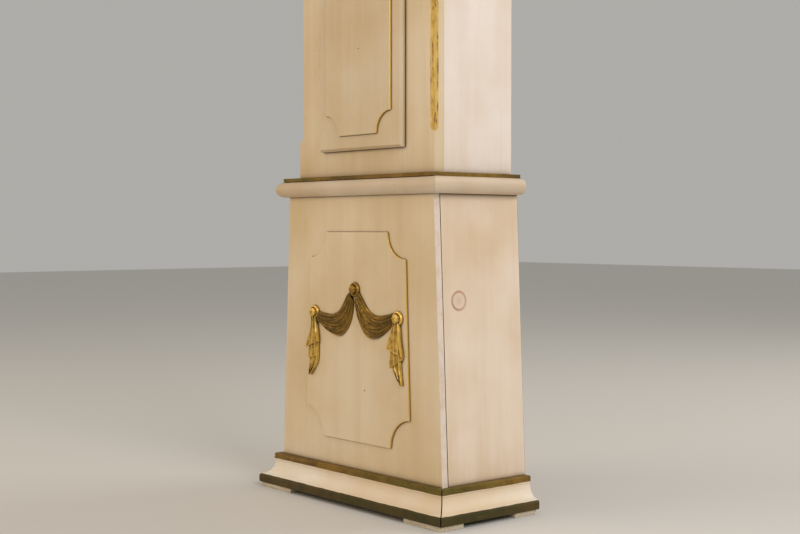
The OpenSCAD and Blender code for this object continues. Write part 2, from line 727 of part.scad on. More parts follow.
// --- Wheel teeth. Wheels have radial flanks and epicycloidal tips rolled by half the pinion,
// pinions have radial leaves with rounded tips; tooth and leaf are thinner than their spaces.
function epi(big, small, t) = let (f = small * t / big)
    [(big + small) * cos(f) - small * cos(f + t), (big + small) * sin(f) - small * sin(f + t)];
function epi_roll(big, small, add) =
    acos((pow(big + small, 2) + small * small - pow(big + add, 2)) / (2 * (big + small) * small));
function wheel_points(n, m, mate_n, thin = 0.93) = let (
        big = n * m / 2, small = mate_n * m / 4, half = 90 / n * thin,
        roll = epi_roll(big, small, 1.2 * m), root = big - 1.45 * m,
        side = [for (k = [0:2]) let (e = epi(big, small, roll * k / 2)) [norm(e), half - atan2(e[1], e[0])]],
        tooth = concat([[root, half]], side))
    [for (i = [0:n - 1]) for (k = [0:7]) let (c = 360 / n * i,
        q = k < 4 ? [tooth[k][0], c - tooth[k][1]] : [tooth[7 - k][0], c + tooth[7 - k][1]]) polar(q[0], q[1])];
function pinion_points(n, m) = let (
        pitch = n * m / 2, half = 360 / n / 6, root = pitch - 1.55 * m, tip = 0.5 * m,
        leaf = [[root, -half], [pitch, -half], [pitch + 0.7 * tip, -half * 0.6], [pitch + tip, 0],
            [pitch + 0.7 * tip, half * 0.6], [pitch, half], [root, half]])
    [for (i = [0:n - 1]) for (q = leaf) polar(q[0], q[1] + 360 / n * i)];
module spoked(n, m, mate_n, turn, hub, bore) difference() {
    rotate(turn) polygon(wheel_points(n, m, mate_n));
    circle(bore);
    rim_r = n * m / 2 - 3.2 * m - 1;
    difference() {
        circle(rim_r);
        circle(hub);
        for (a = [0, 90]) rotate(a + 45) translate([-rim_r - 1, -hub / 3]) square([2 * rim_r + 2, hub / 1.5]);
    }
}

// --- Going train, from the great wheel up to the escape wheel ---
wheel_t = 2.5;
module great_wheel() color(brass_c) {
    d0 = drum_d[0] - 7;
    plate_y(d0, d0 + 3) translate(barrel_p)
        spoked(great_n, great_m, leaf8, aim(barrel_p, centre_p), 14, barrel_arbor_r + run_play);
}
// One barrel: a drum with two flanges on an arbor that ends in a winding square
module barrel(p) {
    rod_y(p, drum_d[0], drum_d[1], barrel_r);
    for (d = [drum_d[0] - 2, drum_d[1]]) rod_y(p, d, d + 2, barrel_r + 3);
    rod_y(p, back_plate_d, front_plate_d + plate_t, barrel_arbor_r);
    plate_y(front_plate_d + plate_t - eps, hour_hand_d - 2.5) translate(p)
        square(barrel_arbor_r * 1.35, center = true);
}
module going_barrel() color(brass_c) barrel(barrel_p);
module strike_barrel() color(brass_c) {
    barrel(strike_p);
    plate_y(drum_d[1] + 2 - eps, drum_d[1] + 4.5) translate(strike_p)
        spoked(strike_n, great_m, leaf8, 0, 14, barrel_arbor_r - 1);
}
centre_wheel_d = drum_d[1] + 5.5;
module centre_wheel() color(brass_c) {
    rod_y(centre_p, back_plate_d, drum_d[0] - 2, centre_pivot_r);
    rod_y(centre_p, drum_d[0] - 2.5, minute_hand_d + 4, centre_arbor_r);
    plate_y(drum_d[0] - 9, drum_d[0] - 2.5) translate(centre_p) rotate(aim(barrel_p, centre_p) + 180 - 180 / leaf8)
        polygon(pinion_points(leaf8, great_m));
    plate_y(centre_wheel_d, centre_wheel_d + 2) translate(centre_p)
        spoked(centre_n, centre_m, leaf8, aim(centre_p, third_p), 7, centre_arbor_r - 1);
}
module third_wheel() color(brass_c) {
    d0 = 90;
    rod_y(third_p, back_plate_d, front_plate_d + plate_t, train_arbor_r);
    plate_y(d0, d0 + 2) translate(third_p)
        spoked(third_n, third_m, escape_leaf, aim(third_p, escape_p), 6, train_arbor_r - 0.5);
    plate_y(centre_wheel_d - 3, centre_wheel_d + 4) translate(third_p)
        rotate(aim(centre_p, third_p) + 180 - 180 / leaf8) polygon(pinion_points(leaf8, centre_m));
}
module escape_wheel() color(brass_c) {
    d0 = 76;
    rod_y(escape_p, back_plate_d, front_plate_d + plate_t, train_arbor_r);
    plate_y(86, 96) translate(escape_p) rotate(aim(third_p, escape_p) + 180 - 180 / escape_leaf)
        polygon(pinion_points(escape_leaf, third_m));
    plate_y(d0, d0 + 1.6) translate(escape_p) difference() {
        polygon([for (i = [0:escape_n - 1]) for (q = [[escape_r - 4, 0], [escape_r, 1], [escape_r, 2.2],
            [escape_r - 4, 5.5]]) polar(q[0], q[1] + 360 / escape_n * i)]);
        difference() {
            circle(escape_r - 5.5);
            circle(5);
            for (a = [0, 90]) rotate(a) translate([-escape_r, -1]) square([2 * escape_r, 2]);
        }
        circle(train_arbor_r - 0.5);
    }
}

// --- Motion work behind the dial ---
motion_d = front_plate_d + plate_t + 4;
module cannon_wheel() color(brass_c) {
    ring_y(centre_p, motion_d - 2, minute_hand_d + 1.5, cannon_r, centre_arbor_r + run_play);
    plate_y(motion_d, motion_d + wheel_t) translate(centre_p) difference() {
        rotate(-90) polygon(wheel_points(motion_n, motion_m, motion_n));
        circle(cannon_r - 1);
    }
}
module minute_wheel() color(brass_c) translate([minute_p[0], 0, minute_p[1]]) {
    plate_y(motion_d, motion_d + wheel_t) difference() {
        rotate(90 - 180 / motion_n) polygon(wheel_points(motion_n, motion_m, motion_n));
        circle(stud_r + run_play);
    }
    plate_y(motion_d + wheel_t - eps, motion_d + 11) difference() {
        rotate(90 - 180 / minute_leaf) polygon(pinion_points(minute_leaf, hour_m));
        circle(stud_r + run_play);
    }
}
module hour_wheel() color(brass_c) {
    d0 = motion_d + 6;
    ring_y(centre_p, d0 - 1, hour_hand_d + 1.5, hour_pipe_r, cannon_r + run_play);
    plate_y(d0, d0 + wheel_t) translate(centre_p) difference() {
        rotate(-90) polygon(wheel_points(hour_n, hour_m, minute_leaf));
        circle(hour_pipe_r - 1);
    }
}

// --- Hands: a tapered blade with a ring, drawn pointing to twelve and turned clockwise ---
module hand(d, reach, w, eye, boss, bore, turn) {
    plate_y(d, d + 1.2) translate(centre_p) rotate(-turn) difference() {
        union() {
            circle(boss);
            polygon([[-w, 0], [w, 0], [w * 0.55, reach * 0.6], [0, reach], [-w * 0.55, reach * 0.6]]);
            translate([0, reach * 0.55]) circle(eye);
            polygon([[w * 0.8, 0], [-w * 0.8, 0], [-w * 1.4, -boss * 2.6], [w * 1.4, -boss * 2.6]]);
        }
        circle(bore);
        translate([0, reach * 0.55]) circle(eye - 2.2);
    }
}
module hour_hand() color(brass_c) hand(hour_hand_d, 78, 3.2, 9, 11, hour_pipe_r, hour_turn);
module minute_hand() color(brass_c) hand(minute_hand_d, 118, 2.6, 8, 9, cannon_r, minute_turn);

// --- Escapement and pendulum ---
crutch_l = 120;
module anchor_and_crutch() color(steel_c) {
    rod_y(anchor_p, back_plate_d - 16.4, front_plate_d + plate_t, anchor_arbor_r);
    plate_y(74.5, 79) translate(anchor_p) {
        circle(4.5);
        for (s = [0, 1]) mirror([s, 0]) polygon([[0, 4.5], [8, 3], [15.5, -6], [14.5, -12.8],
            [12.8, -9.6], [7, -3.5], [0, -4.5]]);
    }
    plate_y(back_plate_d - 11, back_plate_d - 9) translate(anchor_p) {
        circle(5);
        translate([-2, -crutch_l]) square([4, crutch_l]);
        translate([-6, -crutch_l - 4]) square([12, 6]);
    }
    both_sides() plate_y(pend_d - 4, back_plate_d - 9) translate(anchor_p + [rod_r + 0.5, -crutch_l - 4])
        square([2, 6]);
}
module pendulum_rod() color(brass_c) {
    spring_l = 45;
    ring_y(anchor_p, pend_d - 3.5, pend_d + 3.5, 6, susp_r + run_play);
    plate_y(pend_d - 0.6, pend_d + 0.6) translate(anchor_p + [-4, -spring_l]) square([8, spring_l - 5]);
    translate([0, yd(pend_d), anchor_p[1] - spring_l]) rotate([180, 0, 0])
        cylinder(r = rod_r, h = pendulum_l + bob_r + 25 - spring_l, $fn = 48);
    translate([0, yd(pend_d), anchor_p[1] - pendulum_l - bob_r - 14]) cylinder(r = 9, h = 8, $fn = 48);
}
module pendulum_bob() color(brass_c) {
    p = anchor_p + [0, -pendulum_l];
    flat = 5;
    swell = 10;
    ball = (bob_r * bob_r + swell * swell) / (2 * swell);
    difference() {
        turn_y(p) translate([0, pend_d]) union() {
            translate([0, -flat]) square([bob_r, 2 * flat]);
            for (s = [0, 1]) mirror([0, s]) translate([0, flat]) intersection() {
                translate([0, swell - ball]) circle(ball, $fn = 180);
                square([bob_r, swell]);
            }
        }
        translate([0, yd(pend_d), p[1] - bob_r - 1]) cylinder(r = rod_r + run_play, h = 2 * bob_r + 2, $fn = 48);
    }
}

// --- Weights, pulleys and lines; side is 1 for going and -1 for strike ---
module weight(side) translate([side * weight_x, yd(line_d), weight_z]) {
    cylinder(r = weight_r, h = weight_h);
    translate([0, 0, weight_h]) cylinder(r1 = weight_r, r2 = 10, h = 12);
    translate([0, 0, weight_h + 10]) cylinder(r = 3, h = 14, $fn = 48);
    translate([-8, -10, weight_h + 22]) cube([16, 20, 4]);
    for (y = [-10, 8]) translate([-8, y, weight_h + 22]) cube([16, 2, 42]);
    translate([0, 9, weight_h + 55]) rotate([90, 0, 0]) cylinder(r = 2, h = 18, $fn = 48);
}
module pulley(side) turn_y([side * weight_x, pulley_z]) translate([0, line_d]) difference() {
    translate([2 + run_play, -6]) square([pulley_r + 3 - 2 - run_play, 12]);
    polygon([[pulley_r - line_r, -line_r - 0.4], [pulley_r + 4, -4.5], [pulley_r + 4, 4.5],
        [pulley_r - line_r, line_r + 0.4]]);
}
module line(side)
    for (x = line_x) translate([side * x, yd(line_d), pulley_z]) cylinder(r = line_r, h = plate_z - pulley_z, $fn = 24);
module going_weight() color(iron_c) weight(1);
module going_pulley() color(brass_c) pulley(1);
module going_line() color(bare) line(1);
module strike_weight() color(iron_c) weight(-1);
module strike_pulley() color(brass_c) pulley(-1);
module strike_line() color(bare) line(-1);

foot_pads();
base_moulding();
plinth_floor();
plinth_front_board();
plinth_side_boards();
plinth_panel();
drapery_ornament();
waist_moulding();
trunk_front_frame();
trunk_side_boards();
back_board();
throat_moulding();
seat_board();
trunk_hinge_leaves();
trunk_door();
trunk_door_panel();
trunk_door_hinges();
lock_case();
lock_bolt();
door_key();
hood_side_boards();
hood_front_frame();
hood_roof_board();
hood_cornice();
hood_base_roll();
hood_crest();
hood_hinge_leaves();
hood_door();
dial_bezel();
hood_glass();
hood_door_hinges();
hood_door_knob();
back_plate();
front_plate();
plate_pillars();
dial();
suspension_cock();
bell();
bell_stand();
hammer();
great_wheel();
going_barrel();
strike_barrel();
centre_wheel();
third_wheel();
escape_wheel();
cannon_wheel();
minute_wheel();
hour_wheel();
hour_hand();
minute_hand();
anchor_and_crutch();
pendulum_rod();
pendulum_bob();
going_weight();
going_pulley();
going_line();
strike_weight();
strike_pulley();
strike_line();
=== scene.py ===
import json
import math

import bmesh
import bpy
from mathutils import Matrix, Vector, noise

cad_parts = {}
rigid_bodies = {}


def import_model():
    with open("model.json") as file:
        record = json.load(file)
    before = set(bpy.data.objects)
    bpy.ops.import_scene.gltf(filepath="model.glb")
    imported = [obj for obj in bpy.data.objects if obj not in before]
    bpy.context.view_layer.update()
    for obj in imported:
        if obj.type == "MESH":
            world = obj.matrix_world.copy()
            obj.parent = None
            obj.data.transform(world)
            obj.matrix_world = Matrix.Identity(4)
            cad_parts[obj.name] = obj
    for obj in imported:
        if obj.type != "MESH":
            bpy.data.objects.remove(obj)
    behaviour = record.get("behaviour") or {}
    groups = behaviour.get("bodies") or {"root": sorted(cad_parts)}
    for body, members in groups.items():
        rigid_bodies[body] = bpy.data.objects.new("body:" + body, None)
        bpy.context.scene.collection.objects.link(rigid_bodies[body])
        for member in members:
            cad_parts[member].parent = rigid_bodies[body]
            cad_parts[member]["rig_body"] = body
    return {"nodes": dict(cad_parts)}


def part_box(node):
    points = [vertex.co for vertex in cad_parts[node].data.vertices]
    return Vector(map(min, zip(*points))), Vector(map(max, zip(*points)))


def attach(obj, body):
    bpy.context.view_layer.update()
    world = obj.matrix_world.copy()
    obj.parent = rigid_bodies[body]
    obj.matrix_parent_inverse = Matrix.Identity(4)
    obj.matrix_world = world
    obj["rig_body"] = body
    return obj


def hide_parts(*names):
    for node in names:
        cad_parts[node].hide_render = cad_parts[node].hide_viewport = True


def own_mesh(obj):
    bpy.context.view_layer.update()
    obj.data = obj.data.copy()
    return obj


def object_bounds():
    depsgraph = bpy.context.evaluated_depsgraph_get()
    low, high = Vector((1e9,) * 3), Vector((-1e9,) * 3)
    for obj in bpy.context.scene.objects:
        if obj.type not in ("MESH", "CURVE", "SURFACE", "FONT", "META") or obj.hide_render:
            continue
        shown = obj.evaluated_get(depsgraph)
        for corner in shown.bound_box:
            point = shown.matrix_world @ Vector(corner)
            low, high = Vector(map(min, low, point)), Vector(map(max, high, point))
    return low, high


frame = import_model()
cad_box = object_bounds()

# --- Studio ---
# A pale floor and soft light: a broad key on the clock's right side, a warmer fill on its front,
# and a grey surround. The camera stands low, off the clock's front right corner.

mm = 0.001
rear = cad_box[1].y


def at(across, forward, up):
    """A place in millimetres: across from the middle, forward of the flush back, and up."""
    return Vector((across * mm, rear - forward * mm, up * mm))


camera = bpy.data.objects.new("camera", bpy.data.cameras.new("camera"))
camera.location = at(1770.1, 1566.1, 467.9)
camera.rotation_euler = (math.radians(90 - 1.63), 0, math.radians(50.17))
camera.data.lens = 59.79
camera.data.sensor_width = 36
bpy.context.scene.collection.objects.link(camera)
bpy.context.scene.camera = camera
bpy.context.scene.view_settings.view_transform = "Standard"


def add(tree, kind, inputs=None, **settings):
    """Adds one shader node: its settings, then each input as a link or as a constant."""
    node = tree.nodes.new(kind)
    for name, value in settings.items():
        setattr(node, name, value)
    for name, value in (inputs or {}).items():
        if isinstance(value, bpy.types.NodeSocket):
            tree.links.new(value, node.inputs[name])
        else:
            node.inputs[name].default_value = value
    return node


def linear(colour):
    """An sRGB hex colour as the linear RGBA that a shader takes."""
    parts = [int(colour[i : i + 2], 16) / 255 for i in (1, 3, 5)]
    return [p / 12.92 if p <= 0.04045 else ((p + 0.055) / 1.055) ** 2.4 for p in parts] + [1]


floor_colour = "#D9D7D2"
floor_reach = 12
floor = bpy.data.meshes.new("floor")
floor.from_pydata([(x * floor_reach, y * floor_reach, 0) for x, y in ((-1, -1), (1, -1), (1, 1), (-1, 1))], [],
                  [(0, 1, 2, 3)])
floor_sheet = bpy.data.objects.new("floor", floor)
bpy.context.scene.collection.objects.link(floor_sheet)
backdrop = bpy.data.materials.new("studio_floor")
backdrop.use_nodes = True
backdrop.node_tree.nodes["Principled BSDF"].inputs["Base Color"].default_value = linear(floor_colour)
backdrop.node_tree.nodes["Principled BSDF"].inputs["Roughness"].default_value = 0.9
floor.materials.append(backdrop)

surround = bpy.data.worlds.new("surround")
surround.use_nodes = True
surround.node_tree.nodes["Background"].inputs["Color"].default_value = linear("#E3E1DC")
surround.node_tree.nodes["Background"].inputs["Strength"].default_value = 0.55
bpy.context.scene.world = surround

lamps = {
    "key": dict(place=(3.2, -0.55, 2.3), aim=(0, 0, 0.55), size=1.6, power=56, colour="#F6F0F1"),
    "fill": dict(place=(-1.8, -3.2, 1.9), aim=(0, 0, 0.6), size=2.6, power=49, colour="#FFE4C2"),
    "rear": dict(place=(1.2, 3.0, 2.6), aim=(0, 0, 1.0), size=2.0, power=40, colour="#FFF8EE"),
}
for name, lamp in lamps.items():
    light = bpy.data.lights.new(name, "AREA")
    light.energy = lamp["power"]
    light.size = lamp["size"]
    light.color = linear(lamp["colour"])[:3]
    stand = bpy.data.objects.new(name, light)
    stand.location = lamp["place"]
    stand.rotation_euler = (Vector(lamp["aim"]) - Vector(lamp["place"])).to_track_quat("-Z", "Y").to_euler()
    bpy.context.scene.collection.objects.link(stand)

# --- Base moulding ---
# Three lengths of planed pine, mitred at the front corners and nailed round the foot of the plinth:
# a bronze-painted lower band, a cream cove, and a bronze-painted upper band.


def cream_paint(name, stroke, bands=(), knot=None, tones=("#E7D5B6", "#DAC297")):
    """Old oil paint over pine, brushed on: warm ivory, yellowed in patches, with brush marks that run
    the long way of stroke (feature size in mm), grime and painted shade in the corners, a painted shadow
    along seams and gaps, and a few chips. Bands are height ranges in mm that carry bronze paint, each with
    how far it has darkened; tones are the paint's fresh and yellowed colours; a knot is a stain at (forward, up) that
    bled through."""
    paint = bpy.data.materials.new(name)
    paint.use_nodes = True
    tree = paint.node_tree
    shader = tree.nodes["Principled BSDF"]
    place = add(tree, "ShaderNodeTexCoord").outputs["Object"]
    along = add(tree, "ShaderNodeMapping", {"Vector": place, "Scale": [1 / (s * mm) for s in stroke]}).outputs[0]
    strokes = add(tree, "ShaderNodeTexNoise", {"Vector": along, "Scale": 1.0, "Detail": 6.0,
                                               "Roughness": 0.62}).outputs[0]
    broad = add(tree, "ShaderNodeMapping", {"Vector": place, "Scale": [0.22 / (s * mm) for s in stroke]}).outputs[0]
    sweeps = add(tree, "ShaderNodeTexNoise", {"Vector": broad, "Scale": 1.0, "Detail": 3.0}).outputs[0]
    clouds = add(tree, "ShaderNodeTexNoise", {"Vector": place, "Scale": 1 / (170 * mm), "Detail": 5.0}).outputs[0]
    patch = add(tree, "ShaderNodeMapRange", {0: clouds, 1: 0.36, 2: 0.66}).outputs[0]
    cream = add(tree, "ShaderNodeMix", {0: patch, 6: linear(tones[0]), 7: linear(tones[1])},
                data_type="RGBA").outputs[2]
    sweep = add(tree, "ShaderNodeMapRange", {0: sweeps, 1: 0.42, 2: 0.74, 4: 0.32}).outputs[0]
    swept = add(tree, "ShaderNodeMix", {0: sweep, 6: cream, 7: linear("#CDAE80")}, data_type="RGBA").outputs[2]
    mark = add(tree, "ShaderNodeMapRange", {0: strokes, 1: 0.52, 2: 0.8, 4: 0.13}).outputs[0]
    brushed = add(tree, "ShaderNodeMix", {0: mark, 6: swept, 7: linear("#BC9A6A")}, data_type="RGBA").outputs[2]
    pale = add(tree, "ShaderNodeMapRange", {0: strokes, 1: 0.42, 2: 0.22, 4: 0.18}).outputs[0]
    rubbed = add(tree, "ShaderNodeMix", {0: pale, 6: brushed, 7: linear("#F2E4CC")}, data_type="RGBA").outputs[2]
    # Grime and painted shade: the paint darkens towards corners and recesses, found by ambient occlusion.
    shut = add(tree, "ShaderNodeAmbientOcclusion", {"Distance": 16 * mm}, samples=6).outputs["AO"]
    corner = add(tree, "ShaderNodeMapRange", {0: shut, 1: 0.74, 2: 0.34, 4: 0.85}).outputs[0]
    grime_and_shade = add(tree, "ShaderNodeMix", {0: corner, 6: rubbed, 7: linear("#6E5026")}, data_type="RGBA").outputs[2]
    # Painted shadow: seams, gaps and the undersides of mouldings go nearly black-brown, found by a tighter ambient
    # occlusion.
    tight = add(tree, "ShaderNodeAmbientOcclusion", {"Distance": 6 * mm}, samples=8).outputs["AO"]
    painted_seam_shadow = add(tree, "ShaderNodeMapRange", {0: tight, 1: 0.7, 2: 0.47, 4: 0.97}).outputs[0]
    grime_and_shade = add(tree, "ShaderNodeMix", {0: painted_seam_shadow, 6: grime_and_shade, 7: linear("#241707")}, data_type="RGBA").outputs[2]
    pits = add(tree, "ShaderNodeTexVoronoi", {"Vector": place, "Scale": 1 / (34 * mm)}).outputs["Distance"]
    where = add(tree, "ShaderNodeTexNoise", {"Vector": place, "Scale": 1 / (60 * mm)}).outputs[0]
    size = add(tree, "ShaderNodeMapRange", {0: where, 1: 0.52, 2: 0.75, 4: 0.085}).outputs[0]
    chip = add(tree, "ShaderNodeMath", {0: pits, 1: size}, operation="LESS_THAN").outputs[0]
    colour = add(tree, "ShaderNodeMix", {0: chip, 6: grime_and_shade, 7: linear("#5A4426")}, data_type="RGBA").outputs[2]
    height = add(tree, "ShaderNodeMath", {0: strokes, 1: chip}, operation="SUBTRACT").outputs[0]
    if knot:
        ring_radius, ring_width = 14.5 * mm, 3.2 * mm
        centre = at(0, knot[0], knot[1])
        flat = add(tree, "ShaderNodeVectorMath", {0: place, 1: (0, 1, 1)}, operation="MULTIPLY").outputs[0]
        far = add(tree, "ShaderNodeVectorMath", {0: flat, 1: centre}, operation="DISTANCE").outputs["Value"]
        off = add(tree, "ShaderNodeMath", {0: far, 1: ring_radius}, operation="SUBTRACT").outputs[0]
        off = add(tree, "ShaderNodeMath", {0: off}, operation="ABSOLUTE").outputs[0]
        ring = add(tree, "ShaderNodeMapRange", {0: off, 1: ring_width, 2: 0.0, 4: 0.95}).outputs[0]
        core = add(tree, "ShaderNodeMapRange", {0: far, 1: ring_radius, 2: 0.0, 4: 0.3}).outputs[0]
        stain = add(tree, "ShaderNodeMath", {0: ring, 1: core}, operation="MAXIMUM").outputs[0]
        patchy = add(tree, "ShaderNodeMath", {0: stain, 1: add(tree, "ShaderNodeMapRange", {
            0: where, 1: 0.3, 2: 0.6, 3: 0.6, 4: 1.1}).outputs[0]}, operation="MULTIPLY").outputs[0]
        colour = add(tree, "ShaderNodeMix", {0: patchy, 6: colour, 7: linear("#A8714A")},
                     data_type="RGBA").outputs[2]
    roughness = add(tree, "ShaderNodeMapRange", {0: clouds, 1: 0.3, 2: 0.7, 3: 0.4, 4: 0.56}).outputs[0]
    if bands:
        up = add(tree, "ShaderNodeSeparateXYZ", {0: place}).outputs["Z"]
        waver = add(tree, "ShaderNodeTexNoise", {"Vector": place, "Scale": 1 / (22 * mm), "Detail": 3.0}).outputs[0]
        waver = add(tree, "ShaderNodeMapRange", {0: waver, 3: -0.8 * mm, 4: 0.8 * mm}).outputs[0]
        level = add(tree, "ShaderNodeMath", {0: up, 1: waver}).outputs[0]
        band, shade = None, None
        for low, high, depth in bands:
            above = add(tree, "ShaderNodeMapRange", {0: level, 1: (low - 0.2) * mm, 2: (low + 0.2) * mm}).outputs[0]
            below = add(tree, "ShaderNodeMapRange", {0: level, 1: (high + 0.2) * mm, 2: (high - 0.2) * mm}).outputs[0]
            inside = add(tree, "ShaderNodeMath", {0: above, 1: below}, operation="MULTIPLY").outputs[0]
            dark = add(tree, "ShaderNodeMath", {0: inside, 1: depth}, operation="MULTIPLY").outputs[0]
            shade = dark if band is None else add(tree, "ShaderNodeMath", {0: shade, 1: dark},
                                                  operation="MAXIMUM").outputs[0]
            band = inside if band is None else add(tree, "ShaderNodeMath", {0: band, 1: inside},
                                                   operation="MAXIMUM").outputs[0]
        mottle = add(tree, "ShaderNodeTexNoise", {"Vector": place, "Scale": 1 / (45 * mm), "Detail": 7.0,
                                                  "Roughness": 0.7}).outputs[0]
        deep = add(tree, "ShaderNodeMapRange", {0: mottle, 1: 0.38, 2: 0.62}).outputs[0]
        bronze = add(tree, "ShaderNodeMix", {0: deep, 6: linear("#664A0A"), 7: linear("#967226")},
                     data_type="RGBA").outputs[2]
        green = add(tree, "ShaderNodeMapRange", {0: clouds, 1: 0.52, 2: 0.64, 4: 0.45}).outputs[0]
        bronze = add(tree, "ShaderNodeMix", {0: green, 6: bronze, 7: linear("#46551A")},
                     data_type="RGBA").outputs[2]
        glint = add(tree, "ShaderNodeMapRange", {0: strokes, 1: 0.62, 2: 0.7, 4: 0.6}).outputs[0]
        bronze = add(tree, "ShaderNodeMix", {0: glint, 6: bronze, 7: linear("#C9A24E")},
                     data_type="RGBA").outputs[2]
        bronze = add(tree, "ShaderNodeMix", {0: shade, 6: bronze, 7: linear("#242609")}, data_type="RGBA").outputs[2]
        colour = add(tree, "ShaderNodeMix", {0: band, 6: colour, 7: bronze}, data_type="RGBA").outputs[2]
        metal = add(tree, "ShaderNodeMath", {0: band, 1: 0.15}, operation="MULTIPLY").outputs[0]
        roughness = add(tree, "ShaderNodeMath", {0: band, 1: 0.25, 2: roughness}, operation="MULTIPLY_ADD").outputs[0]
        tree.links.new(metal, shader.inputs["Metallic"])
    tree.links.new(colour, shader.inputs["Base Color"])
    tree.links.new(roughness, shader.inputs["Roughness"])
    bump = add(tree, "ShaderNodeBump", {"Height": height, "Distance": 0.25 * mm, "Strength": 0.6}).outputs[0]
    tree.links.new(bump, shader.inputs["Normal"])
    return paint


def worn_edge(name):
    """The same paint where handling has rubbed an arris: paler, with the pine showing through in nicks."""
    edge = bpy.data.materials.new(name)
    edge.use_nodes = True
    tree = edge.node_tree
    shader = tree.nodes["Principled BSDF"]
    place = add(tree, "ShaderNodeTexCoord").outputs["Object"]
    patches = add(tree, "ShaderNodeTexNoise", {"Vector": place, "Scale": 1 / (28 * mm), "Detail": 8.0,
                                               "Roughness": 0.7}).outputs[0]
    bare = add(tree, "ShaderNodeMapRange", {0: patches, 1: 0.69, 2: 0.74}).outputs[0]
    pale = add(tree, "ShaderNodeMapRange", {0: patches, 1: 0.35, 2: 0.55}).outputs[0]
    cream = add(tree, "ShaderNodeMix", {0: pale, 6: linear("#D6C2AA"), 7: linear("#E6D7C8")},
                data_type="RGBA").outputs[2]
    colour = add(tree, "ShaderNodeMix", {0: bare, 6: cream, 7: linear("#8A6B40")}, data_type="RGBA").outputs[2]
    tree.links.new(colour, shader.inputs["Base Color"])
    shader.inputs["Roughness"].default_value = 0.5
    return edge


edge_paint = worn_edge("rubbed_paint")


def piece(name, points, faces, materials, body, nodes, slot, ease=0.0, steps=2, kinds=None):
    """One solid piece: its mesh, its finish, an eased arris of ease mm, and the body it rides on."""
    mesh = bpy.data.meshes.new(name)
    mesh.from_pydata(points, [], faces)
    for material in materials:
        mesh.materials.append(material)
    if kinds:
        mesh.polygons.foreach_set("material_index", kinds)
    tidy = bmesh.new()
    tidy.from_mesh(mesh)
    bmesh.ops.recalc_face_normals(tidy, faces=tidy.faces)
    tidy.to_mesh(mesh)
    tidy.free()
    mesh.polygons.foreach_set("use_smooth", [True] * len(mesh.polygons))
    mesh.set_sharp_from_angle(angle=math.radians(32))
    made = bpy.data.objects.new(name, mesh)
    bpy.context.scene.collection.objects.link(made)
    if ease:
        bevel = made.modifiers.new("eased_arris", "BEVEL")
        bevel.width = ease * mm
        bevel.segments = steps
        bevel.limit_method = "ANGLE"
        bevel.angle_limit = math.radians(40)
        bevel.harden_normals = False
        bevel.material = len(materials) - 1
    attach(made, body)
    if nodes:
        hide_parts(*nodes)
    return made


def mitred(profile, half, depth, gap=0.3, bays=14):
    """Three lengths of a moulding round a box of half width and depth in mm. The profile is a closed
    loop of (projection, height); the ends are cut at 45 degrees and stand gap mm apart."""
    points, faces = [], []
    cut = gap * 0.7
    count = len(profile)
    runs = [[(lambda p, t: (-(half + p - cut) + 2 * (half + p - cut) * t, depth + p))]]
    runs.append([(lambda p, t: (half + p, (depth + p - cut) * t))])
    runs.append([(lambda p, t: (-half - p, (depth + p - cut) * t))])
    for (route,) in runs:
        start = len(points)
        for bay in range(bays + 1):
            for out, up in profile:
                across, forward = route(out, bay / bays)
                points.append(at(across, forward, up))
        for bay in range(bays):
            for i in range(count):
                a, b = start + bay * count + i, start + bay * count + (i + 1) % count
                faces.append((a, b, b + count, a + count))
        faces.append(tuple(range(start, start + count)))
        faces.append(tuple(range(start + bays * count, start + (bays + 1) * count)))
    return points, faces


def arc(centre, radius, first, last, steps):
    """Points along an arc, in degrees; radius may be one number or (across, up)."""
    wide, tall = radius if isinstance(radius, tuple) else (radius, radius)
    angles = [math.radians(first + (last - first) * i / steps) for i in range(steps + 1)]
    return [(centre[0] + wide * math.cos(a), centre[1] + tall * math.sin(a)) for a in angles]


pad_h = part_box("foot_pads")[1].z / mm
foot_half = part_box("plinth_front_board")[1].x / mm
plinth_depth = (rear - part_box("plinth_front_board")[0].y) / mm
base_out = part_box("base_moulding")[1].x / mm - foot_half
base_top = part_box("base_moulding")[1].z / mm
band_top, neck, upper_band = pad_h + 14, 10.8, 12.0
cove_low, cove_high = pad_h + 16, base_top - 13.5
base_profile = (
    [(0, pad_h), (base_out - 1.2, pad_h), (base_out - 0.2, pad_h + 1.0)]
    + [(base_out, pad_h + 6), (base_out - 0.1, band_top - 2), (base_out - 1.4, band_top - 0.2), (base_out - 3, cove_low)]
    + arc((base_out - 3, cove_high), (base_out - 3 - neck, cove_high - cove_low), 270, 180, 12)[1:]
    + [(neck + 0.4, cove_high + 1.5), (upper_band + 0.8, cove_high + 3), (upper_band + 0.9, base_top - 8)]
    + [(upper_band, base_top - 7.2), (upper_band, base_top - 1), (upper_band - 1, base_top), (0, base_top)]
)
along_strokes = (90, 90, 5)
base_paint = cream_paint("cream_paint_base", along_strokes,
                         bands=[(pad_h - 5, band_top + 1.2, 0.7), (base_top - 9.2, base_top + 5, 0.12)],
                         tones=("#F4EAD8", "#E8D4B6"))
points, faces = mitred(base_profile, foot_half, plinth_depth, gap=1.7)
piece("base_lengths", points, faces, [base_paint], "case", ["base_moulding"], "painted_wood")

# --- Floor pads ---
# Four loose offcuts of pale softwood under the base corners, sawn and never painted.


